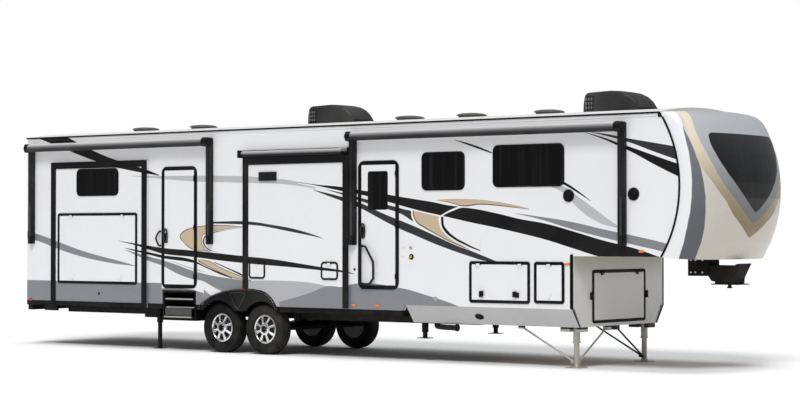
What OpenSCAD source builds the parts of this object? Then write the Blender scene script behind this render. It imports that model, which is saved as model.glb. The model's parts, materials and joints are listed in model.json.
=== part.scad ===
// Fifth wheel travel trailer, parked on its tyres and its front landing legs.
// Distances along the trailer are measured forward from the outside of the rear wall.
// Heights are measured from the ground, and the trailer's right side is at negative Y.

/* [Body] */
// Distance from the rear wall to the most forward point of the side walls' curved front edge
seam_x = 12680; // [12500:10:12900]
// Radius of the side walls' curved front edge
seam_r = 1750; // [1600:10:2200]
// Width over the side walls
body_w = 2440; // [2400:10:2520]
// Height of the roof edge
roof_z = 3480; // [3400:10:3560]
// Rise of the roof's crown above its edge
crown = 45; // [20:5:80]
// Height of the main floor's top
floor_z = 1000; // [990:1:1010]
// Height of the raised deck's underside
deck_z = 1550; // [1500:10:1600]
// Thickness of the side walls
wall_t = 50; // [40:1:60]
// Thickness of the roof and the front cap
roof_t = 60; // [50:1:70]
// Distance from the rear wall to the nose wall below the deck
nose_x = 10990; // [10950:10:11100]
// How far the cap stands ahead of the seam at its foot
cap_low = 530; // [450:10:680]
// How far the cap stands ahead of the seam at its top
cap_top = 475; // [400:5:560]

/* [Slide-out rooms] */
// Depth of each slide-out room behind the wall
slide_depth = 700; // [650:10:720]
// Thickness of a slide-out room's outer panel
face_t = 30; // [25:1:40]
// Gap between that panel and the wall, filled by the seal
seal_gap = 6; // [5:1:10]

/* [Running gear] */
// Radius of the tyres
tyre_r = 391; // [380:1:400]
// Width of the tyres
tyre_w = 235; // [215:1:240]
// Distance from the rear wall to the rear axle
axle_x = 4444; // [4400:1:4500]
// Distance between the two axles
axle_gap = 895; // [880:1:915]
// How far the middle of a tyre stands inside the side wall's face
tyre_in = 130; // [125:1:140]
// Distance from the rear wall to the landing legs
leg_x = 10860; // [10850:5:10870]
// How far each landing leg stands inside the side wall's face
leg_in = 320; // [310:1:325]

/* [Awnings] */
// How far an awning's roller stands off the wall
roller_off = 118; // [110:1:130]
// Radius of an awning's roller with its cloth
roller_r = 66; // [50:1:70]

/* [Hidden] */

$fn = 48;
eps = 0.3;                     // running and seating clearance
half_w = body_w / 2;
track_half = half_w - tyre_in;
leg_y = half_w - leg_in;
ladder_off = 170;              // how far the ladder stands behind the rear wall
mid_z = 2500;                  // height of the seam arc's middle
arc_x = seam_x - seam_r;       // centre of the seam arc
arc_fn = 160;
cap_roll = 150;                // radius of the cap's rounded top edge
lid_x = seam_at(roof_z) - 6;  // where the roof meets the cap
front_x = max([for (z = [mid_z - 500:50:mid_z + 100]) seam_at(z) + cap_depth(z)]);
datum_x = -(front_x - ladder_off) / 2;

belt_z = 740;                  // lower edge of the side walls
belt_low = 660;                // lower edge of the black belt rail below them
chamfer_x = 8120;              // where the chamfered skirt starts
chamfer_z = 820;               // its upper edge
chamfer_in = 200;              // how far it tapers inwards
base_z = 565;                  // underside of the nose compartment
floor_t = 60;
deck_t = 60;
riser_x = 9160;                // riser between the main floor and the deck
nose_t = 40;
runner_h = 15;                 // wear bars that the slide-out rooms run on

white = [0.92, 0.92, 0.92];
black = [0.08, 0.08, 0.08];
grey = [0.47, 0.48, 0.50];
pale = [0.80, 0.78, 0.73];
steel = [0.62, 0.62, 0.62];
glass = [0.06, 0.06, 0.07];

// Openings are boxes [x0, x1, z0, z1] in the plane of their wall.
rear_door_box = [3180, 3950, 990, 2930];
front_door_box = [7230, 7990, 1040, 2935];
front_door_window = [7410, 7790, 2210, 2780];
wide_cargo_box = [9260, 10300, 880, 1470];
narrow_cargo_box = [10370, 10870, 890, 1470];
nose_door_box = [-705, 705, 610, 1355];
galley_box = [800, 2660, 1035, 2200];
access_a_box = [5090, 5420, 1165, 1440];
access_b_box = [6540, 6870, 1165, 1440];
rear_face = [635, 2875, 665, 3050];
rear_room = [790, 2720, floor_z + runner_h + eps, 2930];
rear_window = [1250, 2230, 2480, 2930];
middle_face = [4960, 7072, 750, 3030];
middle_room = [5110, 6930, floor_z + runner_h + eps, 2940];
left_face = [5900, 9040, 850, 3030];
left_room = [6060, 8880, floor_z + runner_h + eps, 2940];
left_slide_window = [6900, 8300, 2000, 2720];
right_windows = [[8410, 9180, 2480, 3035], [9670, 10870, 2510, 3105]];
left_windows = [[1200, 2500, 2150, 2800], [9670, 10870, 2510, 3105]];
back_window = [-600, 600, 2150, 2750];
step_well = [rear_door_box[0] + 10, rear_door_box[1] - 20, belt_low, rear_door_box[2] - 25];
window_round = 90;
door_round = 110;
hatch_round = 45;
frame_w = 40;                  // width of the black ring round a door
frame_t = 12;                  // its thickness
leaf_gap = 5;
leaf_t = 40;
leaf_proud = 8;                // how far a leaf stands out of its wall
pin_r = 5;
knuckle_r = 9;
hinge_off = frame_t + knuckle_r + 2;
lug = 14;

function seam_at(z) = arc_x + sqrt(seam_r * seam_r - (z - mid_z) * (z - mid_z));
// The cap's plan is a rounded rectangle's end: sine and cosine raised to this power.
cap_power = 2 / 2.4;
function cap_cos(u) = pow(max(cos(u), 0), cap_power);
function cap_sin(u) = sign(u) * pow(abs(sin(u)), cap_power);
function cap_depth(z) = cap_low + (cap_top - cap_low) * (z - deck_z) / (roof_z - deck_z);
function inset(b, d) = [b[0] + d, b[1] - d, b[2] + d, b[3] - d];
function crown_at(y) = crown * (1 - pow(y / half_w, 2));

module from_rear() translate([datum_x, 0, 0]) children();
// A side's own plane: local X runs forward, local Y up and local Z outwards.
module on_right() translate([0, -half_w, 0]) rotate([90, 0, 0]) children();
module on_left() mirror([0, 1, 0]) on_right() children();
module on_nose() translate([nose_x, 0, 0]) rotate([90, 0, 90]) children();
module on_rear() mirror([1, 0, 0]) rotate([90, 0, 90]) children();

module box2(b) translate([b[0], b[2]]) square([b[1] - b[0], b[3] - b[2]]);
module round_box(b, r) {
    box2([b[0] + r, b[1] - r, b[2], b[3]]);
    box2([b[0], b[1], b[2] + r, b[3] - r]);
    for (x = [b[0] + r, b[1] - r], z = [b[2] + r, b[3] - r]) translate([x, z]) circle(r);
}
module slab(low, high) translate([0, 0, low]) linear_extrude(high - low) children();
module ring2(b, r, w) difference() {
    round_box(b, r);
    round_box(inset(b, w), max(r - w, 8));
}

// Outline of the wheel arch, highest between the axles; g grows it from its middle.
arch = [4040, 5660, 560, 1006];
arch_points = [[4010, 560], [4040, 670], [4150, 790], [4280, 870], [4410, 925], [4550, 965],
    [4750, 994], [4970, 1006], [5150, 1003], [5320, 986], [5420, 958], [5500, 912], [5570, 850],
    [5625, 780], [5658, 700], [5670, 560]];
arch_mid = [4850, 600];
module arch_outline(g) polygon([for (p = arch_points) p + g * (p - arch_mid) / norm(p - arch_mid)]);

// Outline shared by both side walls; the front edge meets the cap level by level.
module side_outline() polygon(concat([[0, belt_z], [chamfer_x - 60, belt_z], [chamfer_x, chamfer_z],
    [nose_x, chamfer_z], [nose_x, deck_z]],
    [for (k = [0:cap_m + 2]) let (z = min(cap_level(k, 0)[0], roof_z - roof_t))
        [seam_at(z) - eps, z]],
    [[0, roof_z - roof_t]]));
module side_wall(windows, hatches, doors, room_list) slab(-wall_t, 0) difference() {
    side_outline();
    arch_outline(-50);
    for (b = windows) round_box(inset(b, 20), window_round - 20);
    for (b = hatches) round_box(inset(b, frame_w / 2), hatch_round - 10);
    for (b = doors) round_box(inset(b, frame_w / 2), door_round - 20);
    for (b = room_list) box2(inset(b, -8));
}
module right_wall() color(white) from_rear() on_right() difference() {
    side_wall(right_windows, [wide_cargo_box, narrow_cargo_box], [rear_door_box, front_door_box],
        [rear_room, middle_room]);
    slab(-wall_t - 1, 1) box2(step_well);
}
module left_wall() color(white) from_rear() on_left() side_wall(left_windows,
    [wide_cargo_box], [], [left_room]);
module rear_wall() color(white) from_rear() on_rear() slab(-wall_t, 0) difference() {
    box2([-half_w + wall_t, half_w - wall_t, belt_z, roof_z - roof_t]);
    round_box(inset(back_window, 20), window_round - 20);
}

// Roof with a shallow crown, from the rear wall to the cap.
module roof() color(white) from_rear() rotate([90, 0, 90]) linear_extrude(lid_x)
    polygon([[-half_w, roof_z - roof_t], [half_w, roof_z - roof_t],
        for (i = [12:-1:-12]) let (y = half_w * i / 12) [y, roof_z + crown_at(y)]]);

module main_floor() color(grey) from_rear() {
    translate([wall_t, -half_w + wall_t, floor_z - floor_t])
        cube([riser_x - wall_t, body_w - 2 * wall_t, floor_t]);
    for (room = [rear_room, middle_room], x = [room[0] + 200, room[1] - 260])
        translate([x, -half_w + wall_t, floor_z]) cube([60, slide_depth - wall_t - 20, runner_h]);
    for (x = [left_room[0] + 200, left_room[1] - 260])
        translate([x, half_w - slide_depth + 20, floor_z])
            cube([60, slide_depth - wall_t - 20, runner_h]);
}

module deck_floor() color(grey) from_rear() {
    inner = half_w - wall_t;
    translate([0, 0, deck_z]) linear_extrude(deck_t) {
        translate([riser_x, -inner]) square([seam_at(deck_z) - riser_x - 30, 2 * inner]);
        deck_nose();
    }
    translate([riser_x, -inner, chamfer_z + 10]) cube([40, 2 * inner, deck_z - chamfer_z - 10]);
    translate([riser_x, -half_w + chamfer_in + 30, base_z])
        cube([40, body_w - 2 * chamfer_in - 60, chamfer_z + 10 - base_z]);
    difference() {
        translate([riser_x + 40, -half_w + chamfer_in + 30, base_z])
            cube([nose_x - nose_t - riser_x - 40, body_w - 2 * chamfer_in - 60, 40]);
        for (s = [-1, 1]) translate([leg_x, s * leg_y, base_z - 1]) cylinder(r = 48 + eps, h = 42);
    }
}
// Curved front end of the deck, a polygon that follows the inside of the cap's foot.
module deck_nose() polygon([for (i = [0:28]) let (u = max(-88, min(88, -90 + 180 * i / 28)))
    [seam_at(deck_z) - 38 + (cap_depth(deck_z) - roof_t + 28) * cap_cos(u),
    (half_w - roof_t - 4) * cap_sin(u)]]);

module nose_outline() polygon([[-half_w + wall_t, deck_z], [-half_w + wall_t, chamfer_z + 40],
    [-half_w + chamfer_in + 30, base_z], [half_w - chamfer_in - 30, base_z],
    [half_w - wall_t, chamfer_z + 40], [half_w - wall_t, deck_z]]);
module nose_wall() color(pale) from_rear() on_nose() slab(-nose_t, 0) difference() {
    nose_outline();
    round_box(inset(nose_door_box, frame_w / 2), hatch_round - 10);
}

// Front cap: one closed shell, swept from the right seam round to the left one.
cap_n = 28;
cap_m = 9;
cap_k = 5;
foot_drop = 40;                // how far the cap's foot dips at the front
function cap_level(k, t) = k <= cap_m
    ? [deck_z + (roof_z - cap_roll - deck_z) * k / cap_m, 0]
    : let (a = 90 * (k - cap_m) / cap_k)
        [roof_z - cap_roll + (cap_roll - t) * sin(a), (cap_roll - t) * (1 - cos(a))];
function cap_point(u, k, t) = let (
        y = (half_w - t) * cap_sin(u), l = cap_level(min(k, cap_m + cap_k), t),
        z = l[0] - (k == 0 ? foot_drop * sqrt(cap_cos(u)) : 0),
        up = k <= cap_m ? 0 : sin(min(90, 90 * (k - cap_m) / cap_k)))
    k > cap_m + cap_k ? [lid_x + eps, y, roof_z - t + crown_at(y)]
    : [seam_at(z) + (cap_depth(z) - t - l[1]) * cap_cos(u), y, z + up * crown_at(y)];
module front_cap() color(pale) from_rear() {
    rows = cap_m + cap_k + 1;
    ring = 2 * (rows + 1);
    points = [for (i = [0:cap_n]) let (u = -90 + 180 * i / cap_n)
        each [for (k = [0:rows]) cap_point(u, k, 0), for (k = [rows:-1:0]) cap_point(u, k, roof_t)]];
    sides = [for (i = [0:cap_n - 1], j = [0:ring - 1]) let (a = i * ring + j,
            b = i * ring + (j + 1) % ring) each [[a, b, b + ring], [a, b + ring, a + ring]]];
    ends = [for (e = [0, cap_n], k = [0:rows - 1]) let (o = e * ring + k,
            q = e * ring + ring - 1 - k)
        each (e == 0 ? [[o, q, q - 1], [o, q - 1, o + 1]] : [[o, q - 1, q], [o, o + 1, q - 1]])];
    polyhedron(points, concat(sides, ends), convexity = 6);
}

module chamfer_skirts() color(grey) from_rear() for (s = [0, 1]) mirror([0, s, 0])
    translate([chamfer_x, 0, 0]) rotate([90, 0, 90]) linear_extrude(nose_x - chamfer_x)
        polygon([[-half_w, chamfer_z - eps], [-half_w + 30, chamfer_z - eps],
            [-half_w + chamfer_in + 25, base_z], [-half_w + chamfer_in - 12, base_z]]);

// Black extrusions: belt rails, roof edge rails, cap seams and the nose wall's edge.
module edge_trims() color(black) from_rear() {
    for (s = [0, 1]) mirror([0, s, 0]) on_right() {
        for (x = [[0, step_well[0]], [step_well[1], arch[0] - 20], [arch[1] + 20, chamfer_x - 70]])
            slab(-wall_t, 0) box2([x[0], x[1], belt_low, belt_z - eps]);
        slab(-wall_t, 0) box2([440, 730, 575, belt_low + eps]);
        slab(0, 12) box2([-20, lid_x, roof_z - 18, roof_z + 6]);
        slab(0, 12) polygon([[lid_x - 14, roof_z - roof_t - 8], [lid_x + 52, roof_z - roof_t - 8],
            [lid_x + 14, roof_z + 6], [lid_x - 14, roof_z + 6]]);
        slab(0, 9) intersection() {
            difference() {
                translate([arc_x, mid_z]) circle(seam_r + 14, $fn = arc_fn);
                translate([arc_x, mid_z]) circle(seam_r - 12, $fn = arc_fn);
            }
            box2([arc_x + 700, seam_x + 200, deck_z, roof_z - roof_t - 5]);
        }
        slab(0, 10) difference() {
            round_box([nose_x - 26, nose_x + 400, chamfer_z, deck_z + 26], 24);
            box2([nose_x, nose_x + 500, chamfer_z - 10, deck_z]);
            box2([nose_x + 20, nose_x + 500, chamfer_z - 10, deck_z + 40]);
        }
    }
    on_rear() slab(-wall_t, 0) box2([-half_w + wall_t, half_w - wall_t, belt_low, belt_z - eps]);
    for (s = [0, 1]) mirror([0, s, 0]) on_nose() slab(0, 9) polygon([[-half_w, deck_z - 1],
        [-half_w, chamfer_z], [-half_w + chamfer_in - 12, base_z], [-half_w + chamfer_in + 12, base_z],
        [-half_w + 22, chamfer_z], [-half_w + 22, deck_z - 1]]);
}

module fender_skirts() color(black) from_rear() for (s = [0, 1]) mirror([0, s, 0]) on_right()
    slab(eps, 40) difference() {
        arch_outline(0);
        box2([arch[0] - 100, arch[1] + 100, 500, belt_low]);
        for (x = [axle_x, axle_x + axle_gap]) translate([x, tyre_r]) circle(tyre_r + 38, $fn = 96);
    }

rail_y = half_w - 420;
rail_h = 305;
rail_top = floor_z - floor_t;
rail_low = rail_top - rail_h;
module rail_profile() {
    for (z = [rail_low, rail_top - 16]) translate([-50, z]) square([100, 16]);
    translate([-6, rail_low]) square([12, rail_h]);
}
module frame_rails() color(black) from_rear() for (s = [-1, 1]) {
    translate([60, s * rail_y, 0]) rotate([90, 0, 90]) linear_extrude(riser_x - 62) rail_profile();
    translate([riser_x + 45, s * rail_y, 0]) rotate([90, 0, 90])
        linear_extrude(nose_x - nose_t - riser_x - 50) rail_profile();
    translate([leg_x - 40, s * rail_y - 40, rail_top]) cube([120, 80, deck_z - rail_top]);
}
cross_x = [140, 1100, 2050, 3000, 3900, 4850, 5850, 6900, 7950, 9000];
module crossmembers() color(black) from_rear() for (x = cross_x)
    translate([x, -rail_y + 6, rail_low + 90]) cube([60, 2 * rail_y - 12, rail_h - 90 - 16]);

// Closed belly pan below the rails, narrower between the wheels, with a deeper tank bay.
pan_low = 545;
pan_y = 850;
module pan(x0, x1, y, low) difference() {
    translate([x0, -y, low]) cube([x1 - x0, 2 * y, rail_low - low]);
    translate([x0 + 8, -y + 8, low + 8]) cube([x1 - x0 - 16, 2 * y - 16, rail_low - low]);
}
module underbelly() color(black) from_rear() {
    pan(620, 2430, pan_y, pan_low);
    pan(2430.5, 3720, pan_y, pan_low - 50);
    pan(3720.5, 6080, rail_y - 60, pan_low);
    pan(6080.5, riser_x - 20, pan_y, pan_low);
}

hub_r = 60;
rim_face = 70;                 // how far the wheel's disc stands out from the tyre's middle
module axles() color(black) from_rear() for (x = [axle_x, axle_x + axle_gap])
    translate([x, 0, tyre_r]) rotate([90, 0, 0]) {
        cylinder(r = 38, h = 2 * track_half - 200, center = true);
        for (s = [-1, 1]) scale([1, 1, 1]) translate([0, 0, s * (track_half - 60)]) {
            cylinder(r = 155, h = 80, center = true);
            translate([0, 0, s * 75]) cylinder(r = hub_r, h = 170, center = true);
        }
        for (s = [-1, 1]) translate([-45, 38 - 6, s * rail_y - 40]) cube([90, 26, 80]);
    }

spring_half = 330;
spring_z = tyre_r + 58;
spring_r = 900;
module leaf(len, up) intersection() {
    difference() {
        translate([0, spring_z + up + spring_r]) circle(spring_r, $fn = 120);
        translate([0, spring_z + up + spring_r]) circle(spring_r - 11, $fn = 120);
    }
    translate([-len, spring_z - 10]) square([2 * len, 300]);
}
hanger_x = [axle_x - spring_half, axle_x + axle_gap / 2, axle_x + axle_gap + spring_half];
module leaf_springs() color(black) from_rear() for (s = [-1, 1])
    translate([0, s * rail_y + 25, 0]) rotate([90, 0, 0]) {
        linear_extrude(50) {
            for (x = [axle_x, axle_x + axle_gap]) translate([x, 0]) {
                leaf(spring_half + 12, 22);
                leaf(240, 11.2);
                leaf(150, 0.4);
            }
            for (i = [0, 2]) translate([hanger_x[i] - 35, spring_z + 60])
                square([70, rail_low - spring_z - 60]);
            translate([hanger_x[1] - 130, spring_z + 70]) square([260, 40]);
            translate([hanger_x[1] - 40, spring_z + 70]) square([80, rail_low - spring_z - 70]);
        }
    }

leg_r = 38;
module landing_legs() color(steel) from_rear() for (s = [-1, 1]) translate([leg_x, s * leg_y, 0]) {
    translate([-120, -100, 0]) cube([240, 200, 12]);
    cylinder(r1 = 60, r2 = leg_r, h = 60);
    cylinder(r = leg_r, h = 560);
    translate([0, 0, 350]) cylinder(r = 48, h = deck_z - 350);
    translate([0, 0, 345]) cylinder(r = 56, h = 22);
}
brace_r = 13;
module rod(a, b, r) {
    d = b - a;
    l = norm(d);
    translate(a) rotate([0, acos(d[2] / l), atan2(d[1], d[0])]) cylinder(r = r, h = l);
}
module leg_braces() color(steel) from_rear() for (s = [-1, 1]) {
    rod([leg_x - 62, s * leg_y, 95], [9960, s * leg_y, base_z - 30], brace_r);
    translate([9900, s * leg_y - 30, base_z - 45]) cube([80, 60, 45]);
    rod([leg_x, s * (leg_y - 60), 95], [leg_x, s * 120, base_z - 30], brace_r);
    for (p = [[leg_x - leg_r - 22 - eps, s * leg_y, 85], [leg_x, s * (leg_y - leg_r - 22 - eps), 85]])
        translate(p) cube([44, 44, 40], center = true);
    translate([leg_x - 40, s * 110 - 50, base_z - 70]) cube([80, 100, 70]);
    for (x = [[-210, 150], [55, 73]]) translate([leg_x + x[0], s * leg_y - 90, base_z - 65])
        cube([x[1], 180, 65]);
}
jack_x = [2825, 8225];
module stabilizer_jacks() color(black) from_rear() for (s = [-1, 1], i = [0, 1])
    translate([jack_x[i], s * (rail_y + 95), 0]) {
        foot = [0, 330][i];
        translate([-35, -35, 420]) cube([70, 70, rail_top - 425]);
        translate([-25, -25, foot + 10]) cube([50, 50, 500]);
        translate([-90, -80, foot]) cube([180, 160, 10]);
        translate([-30, s > 0 ? -89 : 34, rail_low + 60]) cube([60, 55, 120]);
    }

// Pin box: two bolted wings, a sloping arm, the coupling plate and the kingpin.
pin_x = 12755;
pin_plate_z = 1165;
arm_half = 150;
pin_head_r = 36.5;
module pin_box() color(black) from_rear() {
    for (s = [-1, 1]) translate([12200, s * (arm_half + 8) - 8, 1280])
        cube([303, 16, deck_z - 1280]);
    rotate([90, 0, 0]) translate([0, 0, -arm_half]) linear_extrude(2 * arm_half) polygon([
        [12215, 1290], [12503, 1285], [12557, 1212], [12757, 1188], [12900, 1182], [12905, 1255],
        [12975, 1390], [13010, 1455], [12945, 1450], [12900, 1425], [12500, 1430], [12490, 1520],
        [12215, 1520]]);
    translate([12560, -arm_half - 20, pin_plate_z]) cube([405, 2 * arm_half + 40, 14]);
    translate([12610, -arm_half, pin_plate_z + 14]) cube([280, 2 * arm_half, 60]);
    translate([pin_x, 0, pin_plate_z - 33]) cylinder(r = 25.4, h = 34);
    translate([pin_x, 0, pin_plate_z - 50]) cylinder(r = pin_head_r, h = 17);
}

module bumper() color(black) from_rear() {
    translate([-110, -half_w + 130, 570]) cube([102, body_w - 260, 102]);
    for (s = [-1, 1]) translate([-8.5, s * rail_y - 45, 580]) cube([68.5, 90, 75]);
    for (s = [-1, 1]) translate([60, s * rail_y - 45, 580]) cube([200, 90, rail_low - 580]);
}
ladder_y = 900;
module ladder() color(steel) from_rear() {
    for (s = [-1, 1]) translate([-ladder_off + 15, ladder_y + s * 210, 0]) {
        translate([0, 0, 900]) cylinder(r = 15, h = roof_z - 850);
        for (z = [1100, 2300, roof_z - roof_t - 60]) translate([0, 0, z])
            rotate([0, 90, 0]) cylinder(r = 10, h = ladder_off - 15);
    }
    for (z = [1050:300:roof_z]) translate([-ladder_off + 15, ladder_y - 210, z])
        rotate([-90, 0, 0]) cylinder(r = 12, h = 420);
}

module tail_lamps() color("red") from_rear() on_rear() for (s = [-1, 1]) {
    slab(0, 22) round_box(s > 0 ? [900, 1080, 840, 1010] : [-1080, -900, 840, 1010], 30);
    slab(0, 18) round_box([s * 500 - 50, s * 500 + 50, roof_z - 150, roof_z - 120], 12);
}
marker_spots = [[12100, 1620], [10920, 1440], [7600, 800], [7150, 800]];
module marker_lamps() color("orange") from_rear() for (s = [0, 1]) mirror([0, s, 0]) on_right()
    for (p = marker_spots) slab(0, 16)
        round_box([p[0] - 38, p[0] + 38, p[1] - 16, p[1] + 16], 12);

module pane_frame(b) slab(0, 12) ring2(b, window_round, 24);
module pane(b) slab(-14, 5) round_box(inset(b, 24 + eps), window_round - 25);
module window_frames() color(black) from_rear() {
    on_right() for (b = right_windows) pane_frame(b);
    on_left() for (b = left_windows) pane_frame(b);
    on_rear() pane_frame(back_window);
}
module window_glass() color(glass) from_rear() {
    on_right() for (b = right_windows) pane(b);
    on_left() for (b = left_windows) pane(b);
    on_rear() pane(back_window);
}

// Hinges: the pin runs along local Z, the fixed jamb lies towards +X and the wall towards +Y.
module hinge_fixed(h, deep) {
    cylinder(r = pin_r, h = h);
    for (z = [0, h - lug]) translate([0, 0, z]) {
        cylinder(r = knuckle_r, h = lug);
        translate([0, 0, 0]) cube([32, deep, lug]);
    }
}
module hinge_moving(h, deep) difference() {
    union() {
        translate([0, 0, lug + eps]) cylinder(r = knuckle_r, h = h - 2 * (lug + eps));
        translate([-34, 0, lug + eps]) cube([34, deep, h - 2 * (lug + eps)]);
    }
    cylinder(r = pin_r + eps, h = h);
}
hinge_len = 90;
hinge_in = frame_w + 2;
module side_hinges(b) for (z = [b[2] + 150, (b[2] + b[3]) / 2 - 45, b[3] - 240])
    translate([b[1] - hinge_in, z, hinge_off]) rotate([-90, 0, 0]) children();
module top_hinges(b) {
    w = b[1] - b[0];
    for (x = w > 900 ? [b[0] + 0.2 * w, b[1] - 0.2 * w + 90] : [(b[0] + b[1]) / 2 + 45])
        translate([x, b[3] - hinge_in, hinge_off]) rotate([0, 0, 90]) rotate([-90, 0, 0]) children();
}
module ring(b, r) slab(0, frame_t) ring2(b, r, frame_w);
module fixed_hinge() hinge_fixed(hinge_len, hinge_off - frame_t);
module leaf_hinge() hinge_moving(hinge_len, hinge_off - leaf_proud);
module leaf_plate(b, r, t) slab(leaf_proud - t, leaf_proud)
    round_box(inset(b, frame_w + leaf_gap), max(r - frame_w, 8));

module door_frames() color(black) from_rear() {
    on_right() {
        for (b = [rear_door_box, front_door_box]) {
            ring(b, door_round);
            side_hinges(b) fixed_hinge();
        }
        for (b = [wide_cargo_box, narrow_cargo_box]) {
            ring(b, hatch_round);
            top_hinges(b) fixed_hinge();
        }
    }
    on_left() {
        ring(wide_cargo_box, hatch_round);
        top_hinges(wide_cargo_box) fixed_hinge();
    }
    on_nose() {
        ring(nose_door_box, hatch_round);
        for (s = [-1, 1]) slab(0, 24) round_box([s * 735 - 24, s * 735 + 24, 940, 1045], 8);
        top_hinges(nose_door_box) fixed_hinge();
    }
}
module lever(x, z) translate([x, z, leaf_proud]) {
    slab(0, 10) round_box([-38, 38, -80, 80], 20);
    slab(0, 34) round_box([-14, 14, -55, 25], 10);
}
module rear_entry_door() color(white) from_rear() on_right() {
    leaf_plate(rear_door_box, door_round, leaf_t);
    side_hinges(rear_door_box) leaf_hinge();
    lever(rear_door_box[0] + 100, 1790);
}
module front_entry_door() color(white) from_rear() on_right() {
    difference() {
        union() {
            leaf_plate(front_door_box, door_round, leaf_t);
            lever(front_door_box[0] + 100, 1880);
        }
        slab(-60, 60) round_box(front_door_window, 40);
    }
    side_hinges(front_door_box) leaf_hinge();
    for (z = [1118, 1680]) translate([front_door_box[0] + 84, z, leaf_proud]) slab(0, 60)
        round_box([-16, 16, -20, 20], 8);
    translate([front_door_box[0] + 84, 0, leaf_proud]) slab(38, 60) difference() {
        polygon([[-14, 1098], [180, 1108], [252, 1190], [252, 1450], [100, 1680], [-14, 1705]]);
        polygon([[12, 1126], [168, 1134], [226, 1200], [226, 1442], [88, 1656], [12, 1674]]);
    }
}
module front_entry_glass() color(glass) from_rear() on_right()
    slab(-6, 6) round_box(inset(front_door_window, eps), 40 - eps);

module hatch_leaf(b, t) {
    leaf_plate(b, hatch_round, t);
    top_hinges(b) leaf_hinge();
    w = b[1] - b[0];
    for (x = w > 900 ? [b[0] + 0.2 * w, b[1] - 0.2 * w] : [(b[0] + b[1]) / 2])
        translate([x, b[2] + 120, leaf_proud]) slab(0, 16) round_box([-30, 30, -38, 38], 14);
}
module wide_cargo_door() color(white) from_rear() on_right() hatch_leaf(wide_cargo_box, leaf_t);
module narrow_cargo_door() color(white) from_rear() on_right() hatch_leaf(narrow_cargo_box, leaf_t);
module left_cargo_door() color(white) from_rear() on_left() hatch_leaf(wide_cargo_box, leaf_t);
module nose_door() color(pale) from_rear() on_nose() {
    leaf_plate(nose_door_box, hatch_round, 36);
    top_hinges(nose_door_box) leaf_hinge();
}

// Slide-out rooms: an outer panel with a five-sided room behind it, open to the cabin.
out = seal_gap + face_t;       // where a slide-out's outer face stands
module room_shell(room, depth) slab(-depth, seal_gap + 1) difference() {
    box2(room);
    box2(inset(room, 30));
}
module rear_slide() color(white) from_rear() on_right() {
    slab(seal_gap, out) difference() {
        box2(rear_face);
        round_box(inset(rear_window, 20), window_round - 20);
        round_box(inset(galley_box, frame_w / 2), hatch_round - 10);
    }
    room_shell(rear_room, slide_depth);
}
module face_border(b, w) {
    for (x = [b[0], b[1] - w]) box2([x, x + w, b[2], b[3]]);
    box2([b[0], b[1], b[3] - w, b[3]]);
}
module rear_slide_trim() color(black) from_rear() on_right() {
    slab(out, out + 14) face_border(rear_face, 110);
    slab(out, out + 10) box2([rear_face[0] + 110, rear_face[1] - 110, rear_face[2], rear_face[2] + 75]);
    translate([0, 0, out]) {
        pane_frame(rear_window);
        ring(galley_box, hatch_round);
        top_hinges(galley_box) fixed_hinge();
    }
}
module rear_slide_glass() color(glass) from_rear() on_right() translate([0, 0, out]) pane(rear_window);
module galley_hatch() color(white) from_rear() on_right() translate([0, 0, out])
    hatch_leaf(galley_box, face_t);

module middle_outline() difference() {
    box2(middle_face);
    arch_outline(8);
}
module middle_slide() color(white) from_rear() on_right() {
    slab(seal_gap, out) difference() {
        middle_outline();
        for (b = [access_a_box, access_b_box]) round_box(inset(b, 16), 34);
    }
    difference() {
        room_shell(middle_room, slide_depth);
        slab(0, out) arch_outline(8);
    }
}
topper_z = 3085;
module topper(x0, x1) {
    translate([x0, topper_z, roller_off - 20]) rotate([0, 90, 0])
        cylinder(r = roller_r - 20, h = x1 - x0);
    for (x = [x0 - 30, x1]) slab(out, roller_off + roller_r)
        round_box([x, x + 30, topper_z - 60, topper_z + 60], 12);
    slab(out, out + 20) box2([x0, x1, topper_z - 75, topper_z - 50]);
}
module small_ring(b) slab(0, frame_t) ring2(b, 60, 26);
small_in = 28;
module small_hinge_at(b) translate([(b[0] + b[1]) / 2 + 45, b[3] - small_in, hinge_off])
    rotate([0, 0, 90]) rotate([-90, 0, 0]) children();
module middle_slide_trim() color(black) from_rear() on_right() {
    slab(out, out + 14) intersection() {
        middle_outline();
        face_border(middle_face, 110);
    }
    slab(seal_gap, out) box2([middle_face[0], middle_face[1], middle_face[3] + eps, topper_z + 60]);
    topper(middle_face[0] + 40, middle_face[1] - 60);
    slab(out, out + 25) round_box([5300, 5650, 2670, 2805], 12);
    translate([0, 0, out]) for (b = [access_a_box, access_b_box]) {
        small_ring(b);
        small_hinge_at(b) fixed_hinge();
    }
}
module access_leaf(b) color(white) from_rear() on_right() translate([0, 0, out]) {
    slab(leaf_proud - face_t, leaf_proud) round_box(inset(b, 26 + leaf_gap), 30);
    small_hinge_at(b) leaf_hinge();
    translate([(b[0] + b[1]) / 2, b[2] + 60, leaf_proud]) slab(0, 12) round_box([-22, 22, -12, 12], 8);
}
module access_door_a() access_leaf(access_a_box);
module access_door_b() access_leaf(access_b_box);

module left_slide() color(white) from_rear() on_left() {
    slab(seal_gap, out) difference() {
        box2(left_face);
        round_box(inset(left_slide_window, 20), window_round - 20);
    }
    room_shell(left_room, slide_depth);
}
module left_slide_trim() color(black) from_rear() on_left() {
    slab(out, out + 14) face_border(left_face, 110);
    translate([0, 0, out]) pane_frame(left_slide_window);
    slab(seal_gap, out) box2([left_face[0], left_face[1], left_face[3] + eps, topper_z + 60]);
    topper(left_face[0] + 40, left_face[1] - 60);
}
module left_slide_glass() color(glass) from_rear() on_left() translate([0, 0, out]) pane(left_slide_window);

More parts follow.
